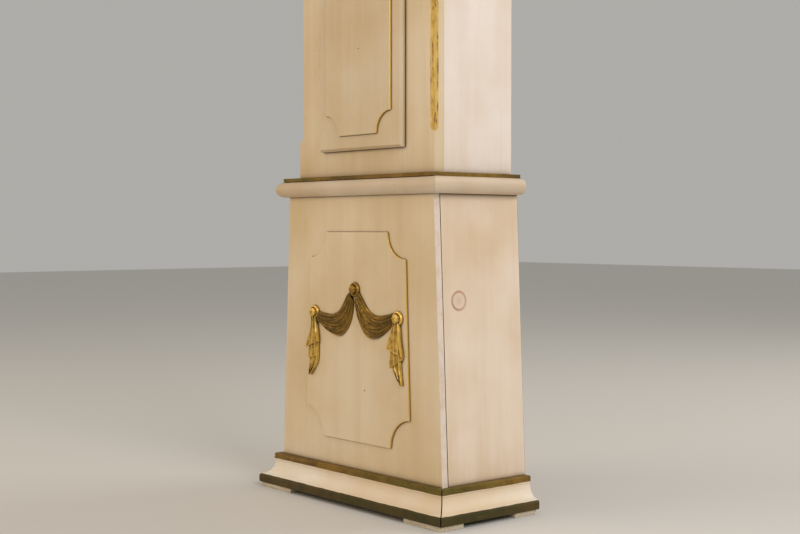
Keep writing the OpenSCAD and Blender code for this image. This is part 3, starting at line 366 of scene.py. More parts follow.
def bare_wood(name, light, dark, grain, roughness=0.65):
    """Planed pine with no finish: straight growth rings that run the long way of grain (sizes in mm)."""
    wood = bpy.data.materials.new(name)
    wood.use_nodes = True
    tree = wood.node_tree
    shader = tree.nodes["Principled BSDF"]
    place = add(tree, "ShaderNodeTexCoord").outputs["Object"]
    along = add(tree, "ShaderNodeMapping", {"Vector": place, "Scale": [1 / (g * mm) for g in grain]}).outputs[0]
    rings = add(tree, "ShaderNodeTexNoise", {"Vector": along, "Scale": 1.0, "Detail": 5.0, "Distortion": 0.4}).outputs[0]
    late = add(tree, "ShaderNodeMapRange", {0: rings, 1: 0.42, 2: 0.62}).outputs[0]
    fibre = add(tree, "ShaderNodeTexNoise", {"Vector": along, "Scale": 6.0, "Detail": 4.0}).outputs[0]
    tone = add(tree, "ShaderNodeMix", {0: late, 6: linear(light), 7: linear(dark)}, data_type="RGBA").outputs[2]
    dust = add(tree, "ShaderNodeMapRange", {0: fibre, 1: 0.55, 2: 0.7, 4: 0.3}).outputs[0]
    tone = add(tree, "ShaderNodeMix", {0: dust, 6: tone, 7: linear("#6E5233")}, data_type="RGBA").outputs[2]
    tree.links.new(tone, shader.inputs["Base Color"])
    shader.inputs["Roughness"].default_value = roughness
    bump = add(tree, "ShaderNodeBump", {"Height": fibre, "Distance": 0.2 * mm, "Strength": 0.5}).outputs[0]
    tree.links.new(bump, shader.inputs["Normal"])
    return wood


def block(low, high):
    """The corners and faces of one sawn block between two places in metres."""
    points = [Vector((x, y, z)) for z in (low.z, high.z) for y in (low.y, high.y) for x in (low.x, high.x)]
    faces = [(0, 2, 3, 1), (4, 5, 7, 6), (0, 1, 5, 4), (2, 6, 7, 3), (0, 4, 6, 2), (1, 3, 7, 5)]
    return points, faces


def join(parts):
    """Several closed shapes as one list of points and faces."""
    points, faces = [], []
    for more_points, more_faces in parts:
        start = len(points)
        points += more_points
        faces += [tuple(start + i for i in face) for face in more_faces]
    return points, faces


pad_size = (90, 48)
pad_low, pad_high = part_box("foot_pads")
pads = []
for side in (0, 1):
    for end in (0, 1):
        x = pad_low.x if side == 0 else pad_high.x - pad_size[0] * mm
        y = pad_low.y if end == 0 else pad_high.y - pad_size[1] * mm
        pads.append(block(Vector((x, y, 0)), Vector((x + pad_size[0] * mm, y + pad_size[1] * mm, pad_high.z))))
pad_wood = bare_wood("sawn_spruce", "#D9CDB6", "#BFAE92", (40, 3, 3))
piece("floor_pads", *join(pads), [pad_wood], "case", ["foot_pads"], "pad_wood", ease=0.7)

# --- Plinth ---
# Pine boards that lean inwards. The front board laps the sides' front edges, which leaves an open
# joint line just behind each front corner.


def prism(outline, back, front):
    """A board with an (across, up) outline in mm, from a back depth forward to a front depth."""
    count = len(outline)
    points = [at(x, back, z) for x, z in outline] + [at(x, front, z) for x, z in outline]
    faces = [tuple(range(count)), tuple(range(2 * count - 1, count - 1, -1))]
    faces += [(i, count + i, count + (i + 1) % count, (i + 1) % count) for i in range(count)]
    return points, faces


up_strokes = (9, 9, 260)
board = 12
plinth_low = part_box("plinth_front_board")[0].z / mm
plinth_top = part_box("plinth_front_board")[1].z / mm
roll_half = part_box("waist_moulding")[1].x / mm
trunk_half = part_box("trunk_side_boards")[1].x / mm
top_half = trunk_half + board + 2
plinth_paint = cream_paint("cream_paint_plinth", up_strokes)
front_outline = [(-foot_half, plinth_low), (foot_half, plinth_low), (foot_half, base_top), (top_half, plinth_top),
                 (-top_half, plinth_top), (-foot_half, base_top)]
piece("plinth_front", *prism(front_outline, plinth_depth - board, plinth_depth), [plinth_paint, edge_paint],
      "case", ["plinth_front_board"], "painted_wood", ease=0.9, kinds=[0, 0, 0, 1, 1, 0, 1, 1])
side_paint = cream_paint("cream_paint_plinth_side", up_strokes, knot=(137.5, 353.6), tones=("#EDDCC8", "#DEC6A6"))
lapped = 0.25
side_outline = [(foot_half - lapped, plinth_low), (foot_half - lapped, base_top), (top_half - lapped, plinth_top),
                (top_half - board, plinth_top), (foot_half - board, base_top), (foot_half - board, plinth_low)]
open_joint = 0.5
right_side = prism(side_outline, 0, plinth_depth - board - open_joint)
left_side = prism([(-x, z) for x, z in side_outline], 0, plinth_depth - board - open_joint)
# Dark joint colour for the sides' eased arrises: dirt, and painted shade where the open joint would be dark.
joint_dirt_and_shade = bpy.data.materials.new("dirt_and_shade_in_the_joint")
joint_dirt_and_shade.use_nodes = True
tree = joint_dirt_and_shade.node_tree
crumbs = add(tree, "ShaderNodeTexNoise", {"Scale": 1 / (6 * mm), "Detail": 4.0,
                                          "Vector": add(tree, "ShaderNodeTexCoord").outputs["Object"]}).outputs[0]
grime = add(tree, "ShaderNodeMix", {0: crumbs, 6: linear("#241608"), 7: linear("#473018")},
            data_type="RGBA").outputs[2]
tree.links.new(grime, tree.nodes["Principled BSDF"].inputs["Base Color"])
tree.nodes["Principled BSDF"].inputs["Roughness"].default_value = 0.9
piece("plinth_sides", *join([right_side, left_side]), [side_paint, joint_dirt_and_shade], "case", ["plinth_side_boards"],
      "painted_wood", ease=0.7)

# --- Plinth panel ---
# A thin fielded panel glued to the front, its four corners scooped out, with gold rubbed along
# the arris. The gold is only on the edges and scoops that face right.


def gilding(name, light="#E2B44E", dark="#8A6420", rubbed=0.35, scale=14, fold_tarnish_and_shade_tone="#3C2A0C", glow=0.5,
            brushed=1):
    """Water gilding over a red clay ground: a painted highlight on what stands proud, tarnish and
    painted shade in the folds, and rubbed through to the clay by the share given. Scale is the size of the
    worn patches in mm, and brushed is how many times longer they are upwards than across."""
    gold = bpy.data.materials.new(name)
    gold.use_nodes = True
    tree = gold.node_tree
    shader = tree.nodes["Principled BSDF"]
    place = add(tree, "ShaderNodeTexCoord").outputs["Object"]
    drawn = add(tree, "ShaderNodeMapping", {"Vector": place, "Scale": (1, 1, 1 / brushed)}).outputs[0]
    worn = add(tree, "ShaderNodeTexNoise", {"Vector": drawn, "Scale": 1 / (scale * mm), "Detail": 8.0,
                                            "Roughness": 0.72}).outputs[0]
    tarnish = add(tree, "ShaderNodeMapRange", {0: worn, 1: 0.34, 2: 0.66}).outputs[0]
    leaf = add(tree, "ShaderNodeMix", {0: tarnish, 6: linear(light), 7: linear(dark)}, data_type="RGBA").outputs[2]
    through = add(tree, "ShaderNodeMapRange", {0: worn, 1: 0.66 - 0.12 * rubbed, 2: 0.7 - 0.12 * rubbed}).outputs[0]
    clay = add(tree, "ShaderNodeMix", {0: through, 6: leaf, 7: linear("#7C3E18")}, data_type="RGBA").outputs[2]
    # Tarnish and painted shade in the folds and hollows, from ambient occlusion and low pointiness.
    shut = add(tree, "ShaderNodeAmbientOcclusion", {"Distance": 7 * mm}, samples=6).outputs["AO"]
    fold = add(tree, "ShaderNodeMapRange", {0: shut, 1: 0.86, 2: 0.42}).outputs[0]
    bend = add(tree, "ShaderNodeNewGeometry").outputs["Pointiness"]
    # Painted highlight: what stands proud is lightened towards the bright leaf colour, from high pointiness.
    painted_ridge_highlight = add(tree, "ShaderNodeMapRange", {0: bend, 1: 0.505, 2: 0.56, 4: 0.9}).outputs[0]
    clay = add(tree, "ShaderNodeMix", {0: painted_ridge_highlight, 6: clay, 7: linear(light)}, data_type="RGBA").outputs[2]
    valley = add(tree, "ShaderNodeMapRange", {0: bend, 1: 0.492, 2: 0.45, 4: 0.85}).outputs[0]
    fold_tarnish_and_shade = add(tree, "ShaderNodeMath", {0: fold, 1: valley}, operation="MAXIMUM").outputs[0]
    colour = add(tree, "ShaderNodeMix", {0: fold_tarnish_and_shade, 6: clay, 7: linear(fold_tarnish_and_shade_tone)}, data_type="RGBA").outputs[2]
    open_metal = add(tree, "ShaderNodeMapRange", {0: fold_tarnish_and_shade, 3: glow, 4: 0.1}).outputs[0]
    metal = add(tree, "ShaderNodeMath", {0: open_metal, 1: add(tree, "ShaderNodeMapRange", {
        0: through, 3: 1.0, 4: 0.1}).outputs[0]}, operation="MULTIPLY").outputs[0]
    rough = add(tree, "ShaderNodeMapRange", {0: worn, 1: 0.3, 2: 0.7, 3: 0.3, 4: 0.52}).outputs[0]
    tree.links.new(colour, shader.inputs["Base Color"])
    tree.links.new(metal, shader.inputs["Metallic"])
    tree.links.new(rough, shader.inputs["Roughness"])
    bump = add(tree, "ShaderNodeBump", {"Height": worn, "Distance": 0.15 * mm, "Strength": 0.4}).outputs[0]
    tree.links.new(bump, shader.inputs["Normal"])
    return gold


def scooped(low_half, high_half, low, high, low_scoop, high_scoop, steps=14):
    """A panel outline in (across, up), counter-clockwise, with a quarter circle cut from each corner."""
    lean = (low_half - high_half) / (high - low)
    outline = []
    for side, end in ((1, 0), (1, 1), (-1, 1), (-1, 0)):
        radius = high_scoop if end else low_scoop
        corner = (side * (high_half if end else low_half), high if end else low)
        first, last = {(1, 0): (180, 90), (1, 1): (270, 180), (-1, 1): (360, 270), (-1, 0): (90, 0)}[(side, end)]
        scoop = arc(corner, radius, first, last, steps)
        tilt = side * lean * radius * (1 if end == 0 else -1)
        outline += [(x - (tilt if abs(z - corner[1]) > radius * 0.99 else 0), z) for x, z in scoop]
    return outline


def fielded(outline, back, front, field, soften=0.5):
    """A panel whose right-hand edges are marked, so that they can carry another finish: the outline from
    back to front in depth, with the arris softened and the face inside it field mm further in."""
    count = len(outline)
    normals = []
    for i in range(count):
        before, after = Vector(outline[i - 1]), Vector(outline[(i + 1) % count])
        run = (after - before).normalized()
        normals.append(Vector((run.y, -run.x)))
    rings = [(back, 0.0), (front - soften, 0.0), (front - soften * 0.3, soften * 0.3), (front, soften),
             (front, soften + field)]
    points = []
    for depth, inset in rings:
        points += [at(outline[i][0] - normals[i].x * inset, depth, outline[i][1] - normals[i].y * inset)
                   for i in range(count)]
    faces = [tuple(range(count))]
    kinds = [0]
    for ring in range(len(rings) - 1):
        for i in range(count):
            a, b = ring * count + i, ring * count + (i + 1) % count
            faces.append((a, a + count, b + count, b))
            kinds.append(int(normals[i].x + normals[(i + 1) % count].x > 0.4))
    last = (len(rings) - 1) * count
    faces.append(tuple(last + count - 1 - i for i in range(count)))
    kinds.append(0)
    return points, faces, kinds


panel_low, panel_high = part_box("plinth_panel")
panel_t = (panel_high.y - panel_low.y) / mm
panel_bottom, panel_top = panel_low.z / mm, panel_high.z / mm
panel_half = panel_high.x / mm
panel_top_half = panel_half - 13.6
panel_front = plinth_depth + panel_t
panel_outline = scooped(panel_half, panel_top_half, panel_bottom, panel_top, 50, 44)
panel_gold = gilding("rubbed_gold_edge", "#EBC56C", "#B98A40", rubbed=0.35, scale=11, fold_tarnish_and_shade_tone="#6A4A1C")
panel_paint = cream_paint("cream_paint_panel", up_strokes)
points, faces, kinds = fielded(panel_outline, plinth_depth, panel_front, 0.6)
piece("fielded_panel", points, faces, [panel_paint, panel_gold], "case", ["plinth_panel"], "painted_wood",
      kinds=kinds)

# --- Carved drapery ---
# Limewood carving glued to the panel and gilded: two swags of cloth caught up by three rosettes, and
# a pleated drop at each side. The swags have tarnished to dark bronze.


def spline(points, share):
    """A smooth curve through listed points, at a share of the way from the first to the last."""
    reach = share * (len(points) - 1)
    i = min(int(reach), len(points) - 2)
    t = reach - i
    here = [Vector(points[max(0, min(len(points) - 1, i + k))]) for k in (-1, 0, 1, 2)]
    return 0.5 * (2 * here[1] + (here[2] - here[0]) * t + (2 * here[0] - 5 * here[1] + 4 * here[2] - here[3]) * t * t
                  + (3 * here[1] - here[0] - 3 * here[2] + here[3]) * t ** 3)


def cloth(upper, lower, relief, across, along, floor_depth, rim=1.2):
    """A carved sheet between two edge curves. relief(u, v) is its height in mm over the panel, with u
    running along the curves and v from the upper to the lower one; its back lies on the panel."""
    points, faces = [], []
    for layer in (0, 1):
        for i in range(along + 1):
            u = i / along
            top, bottom = spline(upper, u), spline(lower, u)
            for j in range(across + 1):
                v = j / across
                spot = top.lerp(bottom, v)
                points.append(at(spot.x, floor_depth + (relief(u, v) if layer else -0.2), spot.y))
    row, layer = across + 1, (along + 1) * (across + 1)
    for i in range(along):
        for j in range(across):
            a = i * row + j
            faces.append((a, a + row, a + row + 1, a + 1))
            faces.append((layer + a, layer + a + 1, layer + a + row + 1, layer + a + row))
    for i in range(along):
        for j in (0, across):
            a, b = i * row + j, (i + 1) * row + j
            faces.append((a, layer + a, layer + b, b))
    for j in range(across):
        for i in (0, along):
            a, b = i * row + j, i * row + j + 1
            faces.append((a, layer + a, layer + b, b))
    return points, faces


def turned(profile, centre, steps=40):
    """A shape turned about a front-to-back axis: (radius, depth) points from its back to its tip."""
    points, faces = [], []
    for radius, depth in profile:
        for i in range(steps):
            a = 2 * math.pi * i / steps
            points.append(at(centre[0] + radius * math.cos(a), depth, centre[1] + radius * math.sin(a)))
    for ring in range(len(profile) - 1):
        for i in range(steps):
            a, b = ring * steps + i, ring * steps + (i + 1) % steps
            faces.append((a, b, b + steps, a + steps))
    faces.append(tuple(range(steps)))
    faces.append(tuple(len(profile) * steps - 1 - i for i in range(steps)))
    return points, faces


def rosette(centre, depth):
    """A round button with a dished collar and a chiselled boss of seven soft facets."""
    profile = [(8, depth), (12, depth), (12, depth + 3.2), (11.2, depth + 4.6), (9.6, depth + 5.0), (8.2, depth + 4.4),
               (7.8, depth + 5.4), (7.6, depth + 8.4), (6.4, depth + 9.5), (3.4, depth + 9.9), (0.4, depth + 10)]
    points, faces = turned(profile, centre, 42)
    middle = at(centre[0], 0, centre[1])
    for i, point in enumerate(points):
        ring = i // 42
        if ring >= 6:
            angle = math.atan2(point.z - middle.z, point.x - middle.x)
            dent = 1 - 0.07 * (0.5 + 0.5 * math.cos(7 * angle)) * (1 if ring < 10 else 0)
            point.x = middle.x + (point.x - middle.x) * dent
            point.z = middle.z + (point.z - middle.z) * dent
            point.y += 0.5 * mm * (0.5 + 0.5 * math.cos(7 * angle + 0.6)) * (ring in (8, 9))
    return points, faces


def swag_relief(u, v):
    """Ropes of cloth that leave one rosette, sag, and gather again at the other, with thin ridges."""
    pinch = math.sin(math.pi * min(1, max(0, u))) ** 0.6
    sweep = v + 0.10 * math.sin(math.pi * u)
    ridge = abs(math.sin(math.pi * (4.4 * sweep + 0.2 * math.sin(3.3 * u + 1)))) ** 0.75
    fine = abs(math.sin(math.pi * (11 * sweep + 0.8 * u))) ** 0.8
    body = math.sin(math.pi * min(1, max(0, 0.08 + 0.9 * v))) ** 0.55
    return 0.8 + body * (1.9 + 1.6 * (1 - pinch)) + 3.3 * (1 - ridge) * (0.35 + 0.65 * pinch) + 0.8 * (1 - fine)


def tier_relief(lift, folds):
    """One tier of a drop, lift mm off the panel: pleats that run down it, proud at the hem."""
    def relief(u, v):
        pleat = 1 - abs(math.sin(math.pi * (folds * v + 0.12 * math.sin(4 * u)))) ** 0.75
        body = math.sin(math.pi * min(1, max(0, 0.12 + 0.8 * v))) ** 0.5
        return 0.8 + lift * (0.35 + 0.65 * u) + body * 1.3 + 4.2 * pleat
    return relief


peak = (0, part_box("drapery_ornament")[1].z / mm - 12)
wing = (113.5, peak[1] - 43.5)
swag_reach = [0.0, 0.17, 0.36, 0.57, 0.8, 1.0]
left_upper = [(-106, 326), (-88, 322.5), (-64, 321.5), (-44, 329), (-27, 346.5), (-12, 362)]
left_lower = [(-106, 308), (-88, 299), (-60, 288), (-35, 287.5), (-12, 310), (-3, 345)]
right_upper = [(12, 361), (26, 344.5), (42, 330), (62, 324.5), (84, 327), (106, 332)]
right_lower = [(2, 346), (10, 314), (31, 289.5), (56, 287), (80, 297), (106, 315)]
tiers = [
    ([(-119, 318), (-120, 303), (-124, 284), (-134.5, 261)], [(-108, 318), (-106, 303), (-103, 287), (-101, 272)],
     3.4, 2.0),
    ([(-128, 274), (-128.5, 258), (-127, 242)], [(-102, 280), (-102, 264), (-103, 248)], 1.9, 2.5),
    ([(-127, 256), (-126.5, 234), (-127.5, 213)], [(-102.5, 262), (-104.5, 236), (-126, 212)], 0.3, 2.2),
    ([(107, 318), (101, 303), (97, 289), (90.5, 272)], [(118, 318), (120.5, 303), (122.5, 284), (127.5, 261)], 3.4, 2.0),
    ([(96, 280), (98, 262), (97, 241)], [(125, 270), (128, 262), (125.5, 255)], 1.9, 2.5),
    ([(98.5, 254), (105, 236), (124.5, 214)], [(122, 262), (123.5, 238), (126, 213.5)], 0.3, 2.2),
]
leaf_gold = gilding("tarnished_gold_leaf", "#AA8430", "#4E3A0E", rubbed=0.3, scale=12, fold_tarnish_and_shade_tone="#241804",
                    glow=0.75)
bright_gold = gilding("bright_gold_leaf", "#F0CA68", "#8E6218", rubbed=0.4, scale=8, fold_tarnish_and_shade_tone="#45200A", glow=0.7)
swags = join([cloth(left_upper, left_lower, swag_relief, 46, 60, panel_front),
              cloth(right_upper, right_lower, lambda u, v: swag_relief(1 - u, v), 46, 60, panel_front),
              rosette(peak, panel_front)])
piece("carved_swags", *swags, [leaf_gold], "case", ["drapery_ornament"], "gilded_wood")
drops = join([cloth(left, right, tier_relief(lift, folds), 30, 24, panel_front) for left, right, lift, folds in tiers]
             + [rosette(spot, panel_front) for spot in (wing, (-wing[0], wing[1]))])
piece("carved_drops", *drops, [bright_gold], "case", ["drapery_ornament"], "gilded_wood")

# --- Waist moulding ---
# A half-round roll planted on top of the plinth, with a thin bronze-painted fillet above it, in three
# mitred lengths.


def dress(nodes, materials, ease=0.6, pick=None, worn=True, name=None, lip=0.0):
    """A piece with the engineered shape of one or more nodes of one body, its flat faces made whole
    and its arrises eased by ease mm. pick chooses a face's material; worn arrises take the last one.
    With lip, only the outer arrises of the foremost face are rounded, to lip mm."""
    nodes = [nodes] if isinstance(nodes, str) else nodes
    shape = bmesh.new()
    for node in nodes:
        shape.from_mesh(frame["nodes"][node].data)
    bmesh.ops.remove_doubles(shape, verts=shape.verts, dist=0.002 * mm)
    bmesh.ops.dissolve_limit(shape, angle_limit=math.radians(0.3), verts=shape.verts, edges=shape.edges)
    shape.normal_update()
    if lip:
        weights = shape.edges.layers.float.new("bevel_weight_edge")
        foremost = min(vertex.co.y for vertex in shape.verts)
        left, right = min(v.co.x for v in shape.verts), max(v.co.x for v in shape.verts)
        low, high = min(v.co.z for v in shape.verts), max(v.co.z for v in shape.verts)
        for edge in shape.edges:
            a, b = (vertex.co for vertex in edge.verts)
            level = max(a.y, b.y) < foremost + 0.05 * mm
            upright = max(a.x, b.x) < left + 0.05 * mm or min(a.x, b.x) > right - 0.05 * mm
            flat = max(a.z, b.z) < low + 0.05 * mm or min(a.z, b.z) > high - 0.05 * mm
            edge[weights] = float(level and (upright or flat))
    for face in shape.faces:
        face.material_index = pick(face) if pick else 0
        face.smooth = True
    mesh = bpy.data.meshes.new(name or nodes[0] + "_finish")
    shape.to_mesh(mesh)
    shape.free()
    for material in materials:
        mesh.materials.append(material)
    mesh.set_sharp_from_angle(angle=math.radians(32))
    made = bpy.data.objects.new(mesh.name, mesh)
    bpy.context.scene.collection.objects.link(made)
    if ease:
        bevel = made.modifiers.new("eased_arris", "BEVEL")
        bevel.width = (lip or ease) * mm
        bevel.segments = 6 if lip else 2
        bevel.limit_method = "WEIGHT" if lip else "ANGLE"
        bevel.use_clamp_overlap = not lip
        bevel.angle_limit = math.radians(40)
        bevel.material = len(materials) - 1 if worn and not lip else -1
    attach(made, frame["nodes"][nodes[0]]["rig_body"])
    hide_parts(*nodes)
    return made


waist_low, waist_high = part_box("waist_moulding")
fillet_h = 6
fillet_bottom = waist_high.z / mm - fillet_h
waist_paint = cream_paint("cream_paint_waist", along_strokes, bands=[(fillet_bottom - 0.6, fillet_bottom + 12, 0.1)],
                          tones=("#DBCCB7", "#C9B292"))
dress("waist_moulding", [waist_paint], ease=0.5, worn=False)

# --- Trunk ---
# A pine frame of stiles and rails between two side boards. The stiles' outer arrises are chamfered
# between two run-outs, and the chamfers are gilded over red clay, now rubbed.

trunk_front = (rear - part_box("trunk_front_frame")[0].y) / mm
trunk_paint = cream_paint("cream_paint_trunk", up_strokes)
chamfer_gold = gilding("rubbed_gold_chamfer", "#FFDE80", "#B68324", rubbed=0.9, scale=5, fold_tarnish_and_shade_tone="#6A3E1A",
                       glow=0.4, brushed=7)


def slanted(face):
    """1 for a chamfer's face, which looks both forwards and sideways, else 0."""
    return int(abs(face.normal.x) > 0.25 and face.normal.y < -0.25 and abs(face.normal.z) < 0.75)


dress("trunk_front_frame", [trunk_paint, chamfer_gold, edge_paint], ease=0.7, pick=slanted)
trunk_side_paint = cream_paint("cream_paint_trunk_side", up_strokes, tones=("#F4EAE0", "#E6D6C2"))
dress("trunk_side_boards", [trunk_side_paint, edge_paint], ease=0.7)

# --- Throat moulding ---
# A hollow moulding that carries the wider hood, mitred round the top of the trunk.

throat_low, throat_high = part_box("throat_moulding")
throat_paint = cream_paint("cream_paint_throat", along_strokes,
                           bands=[(throat_low.z / mm - 1, throat_low.z / mm + 6.2, 0.1)])
dress("throat_moulding", [throat_paint], ease=0.4, worn=False)

# --- Back, floor and seat boards ---
# Bare pine that nobody was meant to see, sawn and roughly planed.

back_wood = bare_wood("bare_pine_back", "#B8966A", "#8F6A3F", (9, 9, 420))
dress("back_board", [back_wood], ease=0.6, worn=False)
shelf_wood = bare_wood("bare_pine_shelf", "#BE9C70", "#94703F", (300, 8, 8))
for node in ("plinth_floor", "seat_board", "hood_roof_board"):
    dress(node, [shelf_wood], ease=0.6, worn=False)

# --- Trunk door ---
# A pine door whose rounded lip laps the frame all round, with a thin scooped panel glued on it.

door_paint = cream_paint("cream_paint_door", up_strokes, tones=("#DECDB0", "#D1BA91"))
dress("trunk_door", [door_paint], lip=4.5)
door_panel_low, door_panel_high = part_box("trunk_door_panel")
door_panel_outline = scooped(door_panel_high.x / mm, door_panel_high.x / mm, door_panel_low.z / mm,
                             door_panel_high.z / mm, 36.5, 36.5)
door_panel_paint = cream_paint("cream_paint_door_panel", up_strokes, tones=("#DECDB0", "#D1BA91"))
points, faces, kinds = fielded(door_panel_outline, (rear - door_panel_high.y) / mm,
                               (rear - door_panel_low.y) / mm, 0.6)
piece("door_panel", points, faces, [door_panel_paint, panel_gold], "trunk_door_leaf", ["trunk_door_panel"],
      "painted_wood", kinds=kinds)

# --- Trunk door hinges, lock and key ---
# Steel butt hinges painted over with the case, a brass box lock on the door's inner face, its steel
# bolt, and the key left in it.


def plain_metal(name, colour, worn_colour, roughness=0.35, scale=18, metallic=1.0):
    """Metal with finger-dulled patches; colour is where it is bright, worn_colour where it is dull."""
    metal = bpy.data.materials.new(name)
    metal.use_nodes = True
    tree = metal.node_tree
    shader = tree.nodes["Principled BSDF"]
    place = add(tree, "ShaderNodeTexCoord").outputs["Object"]
    cloud = add(tree, "ShaderNodeTexNoise", {"Vector": place, "Scale": 1 / (scale * mm), "Detail": 6.0}).outputs[0]
    dull = add(tree, "ShaderNodeMapRange", {0: cloud, 1: 0.4, 2: 0.65}).outputs[0]
    tone = add(tree, "ShaderNodeMix", {0: dull, 6: linear(colour), 7: linear(worn_colour)}, data_type="RGBA").outputs[2]
    rough = add(tree, "ShaderNodeMapRange", {0: cloud, 1: 0.35, 2: 0.7, 3: roughness * 0.75, 4: roughness * 1.5}).outputs[0]
    tree.links.new(tone, shader.inputs["Base Color"])
    tree.links.new(rough, shader.inputs["Roughness"])
    shader.inputs["Metallic"].default_value = metallic
    return metal


hinge_paint = cream_paint("painted_over_steel", (12, 12, 60))
# The hinges' eased arrises take the dark joint colour: dirt, and painted shade in the gaps between the knuckles.
for node in ("trunk_hinge_leaves", "trunk_door_hinges"):
    dress(node, [hinge_paint, joint_dirt_and_shade], ease=0.45)
brass = plain_metal("aged_brass", "#C9A35A", "#8C6C34", 0.3, 26)
steel = plain_metal("bright_steel", "#9A9C9F", "#6C6A66", 0.32, 20)
dress("lock_case", [brass], ease=0.5, worn=False)
dress("lock_bolt", [steel], ease=0.3, worn=False)
dress("door_key", [steel], ease=0.3, worn=False)

# --- Hood ---
# The glazed box over the movement: pine sides and a front frame with the trunk's gilded chamfers. It
# slides forwards off the case on the throat moulding.

hood_paint = cream_paint("cream_paint_hood", up_strokes)
hood_side_paint = cream_paint("cream_paint_hood_side", up_strokes)
dress("hood_side_boards", [hood_side_paint, edge_paint], ease=0.7)
dress("hood_front_frame", [hood_paint, chamfer_gold, edge_paint], ease=0.7, pick=slanted)
roll_paint = cream_paint("cream_paint_hood_roll", along_strokes)
dress("hood_base_roll", [roll_paint], ease=0, worn=False)

# --- Cornice and crest ---
# A stack of cove, roll and fillet mitred round the top, and a low board with scooped ends standing on
# its front edge, edged with gold.

cornice_low, cornice_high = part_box("hood_cornice")
cornice_paint = cream_paint("cream_paint_cornice", along_strokes,
                            bands=[(cornice_high.z / mm - 6.2, cornice_high.z / mm + 2, 0.1),
                                   (cornice_low.z / mm - 2, cornice_low.z / mm + 5.6, 0.1)])
dress("hood_cornice", [cornice_paint], ease=0.4, worn=False)
crest_paint = cream_paint("cream_paint_crest", along_strokes)
crest_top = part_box("hood_crest")[1].z


def crest_edge(face):
    """1 for the crest's top and scooped edges, which are gilded, else 0."""
    return int(abs(face.normal.y) < 0.5 and face.normal.z > -0.9 and face.calc_center_median().z > crest_top - 40 * mm)


dress("hood_crest", [crest_paint, panel_gold, edge_paint], ease=0.6, pick=crest_edge)

# --- Hood door ---
# A square pine door with a round window, glazed from behind, with a turned and gilded bezel, brass
# butt hinges and a turned brass knob.

hood_door_paint = cream_paint("cream_paint_hood_door", up_strokes)
dress("hood_door", [hood_door_paint], lip=4.5)
bezel_gold = gilding("gilded_bezel", "#E0B24E", "#9C7428", rubbed=0.3, scale=16, fold_tarnish_and_shade_tone="#4A320C", glow=0.65)
dress("dial_bezel", [bezel_gold], ease=0.4, worn=False)
for node in ("hood_hinge_leaves", "hood_door_hinges", "hood_door_knob"):
    dress(node, [brass], ease=0.25, worn=False)

pane = bpy.data.materials.new("crown_glass")
pane.use_nodes = True
tree = pane.node_tree
place = add(tree, "ShaderNodeTexCoord").outputs["Object"]
ripple = add(tree, "ShaderNodeTexNoise", {"Vector": place, "Scale": 1 / (60 * mm), "Detail": 2.0}).outputs[0]
wave = add(tree, "ShaderNodeBump", {"Height": ripple, "Distance": 0.4 * mm, "Strength": 0.2}).outputs[0]
through = add(tree, "ShaderNodeBsdfTransparent", {"Color": linear("#F7F9F5")}).outputs[0]
shine = add(tree, "ShaderNodeBsdfGlossy", {"Roughness": 0.04, "Normal": wave}).outputs[0]
facing = add(tree, "ShaderNodeLayerWeight", {"Blend": 0.5}).outputs["Facing"]
edge_on = add(tree, "ShaderNodeMath", {0: facing, 1: 5.0}, operation="POWER").outputs[0]
share = add(tree, "ShaderNodeMath", {0: edge_on, 1: 0.96, 2: 0.04}, operation="MULTIPLY_ADD").outputs[0]
clear = add(tree, "ShaderNodeMixShader", {0: share, 1: through, 2: shine}).outputs[0]
tree.links.new(clear, tree.nodes["Material Output"].inputs["Surface"])
dress("hood_glass", [pane], ease=0, worn=False)

# --- Movement ---
# An eight-day weight-driven movement between two brass plates: steel arbors and pinions, brass wheels,
# an anchor with its crutch, and a bell with its hammer.

movement_brass = plain_metal("movement_brass", "#D0AC62", "#A9853F", 0.22, 40)
bell_metal = plain_metal("cast_bell_metal", "#C8A868", "#9A7E48", 0.28, 30)
for node in ("back_plate", "front_plate", "plate_pillars", "suspension_cock"):
    dress(node, [movement_brass], ease=0.3, worn=False)
for node in ("great_wheel", "going_barrel", "strike_barrel", "centre_wheel", "third_wheel", "escape_wheel",
             "cannon_wheel", "minute_wheel", "hour_wheel"):
    frame["nodes"][node].data.materials.clear()
    frame["nodes"][node].data.materials.append(movement_brass)
for node in ("anchor_and_crutch", "bell_stand", "hammer"):
    dress(node, [steel], ease=0.3, worn=False)
dress("bell", [bell_metal], ease=0.4, worn=False)

# --- Dial ---
# A white enamelled sheet with printed hour figures, a minute track of sixty strokes, and two holes
# for the winding squares.

enamel = bpy.data.materials.new("white_enamel")
enamel.use_nodes = True
tree = enamel.node_tree
shader = tree.nodes["Principled BSDF"]
place = add(tree, "ShaderNodeTexCoord").outputs["Object"]
age = add(tree, "ShaderNodeTexNoise", {"Vector": place, "Scale": 1 / (70 * mm), "Detail": 6.0}).outputs[0]
yellowed = add(tree, "ShaderNodeMapRange", {0: age, 1: 0.4, 2: 0.7}).outputs[0]
white = add(tree, "ShaderNodeMix", {0: yellowed, 6: linear("#F0EBDD"), 7: linear("#E2D6BA")}, data_type="RGBA").outputs[2]
tree.links.new(white, shader.inputs["Base Color"])
shader.inputs["Roughness"].default_value = 0.22
dress("dial", [enamel], ease=0.3, worn=False)

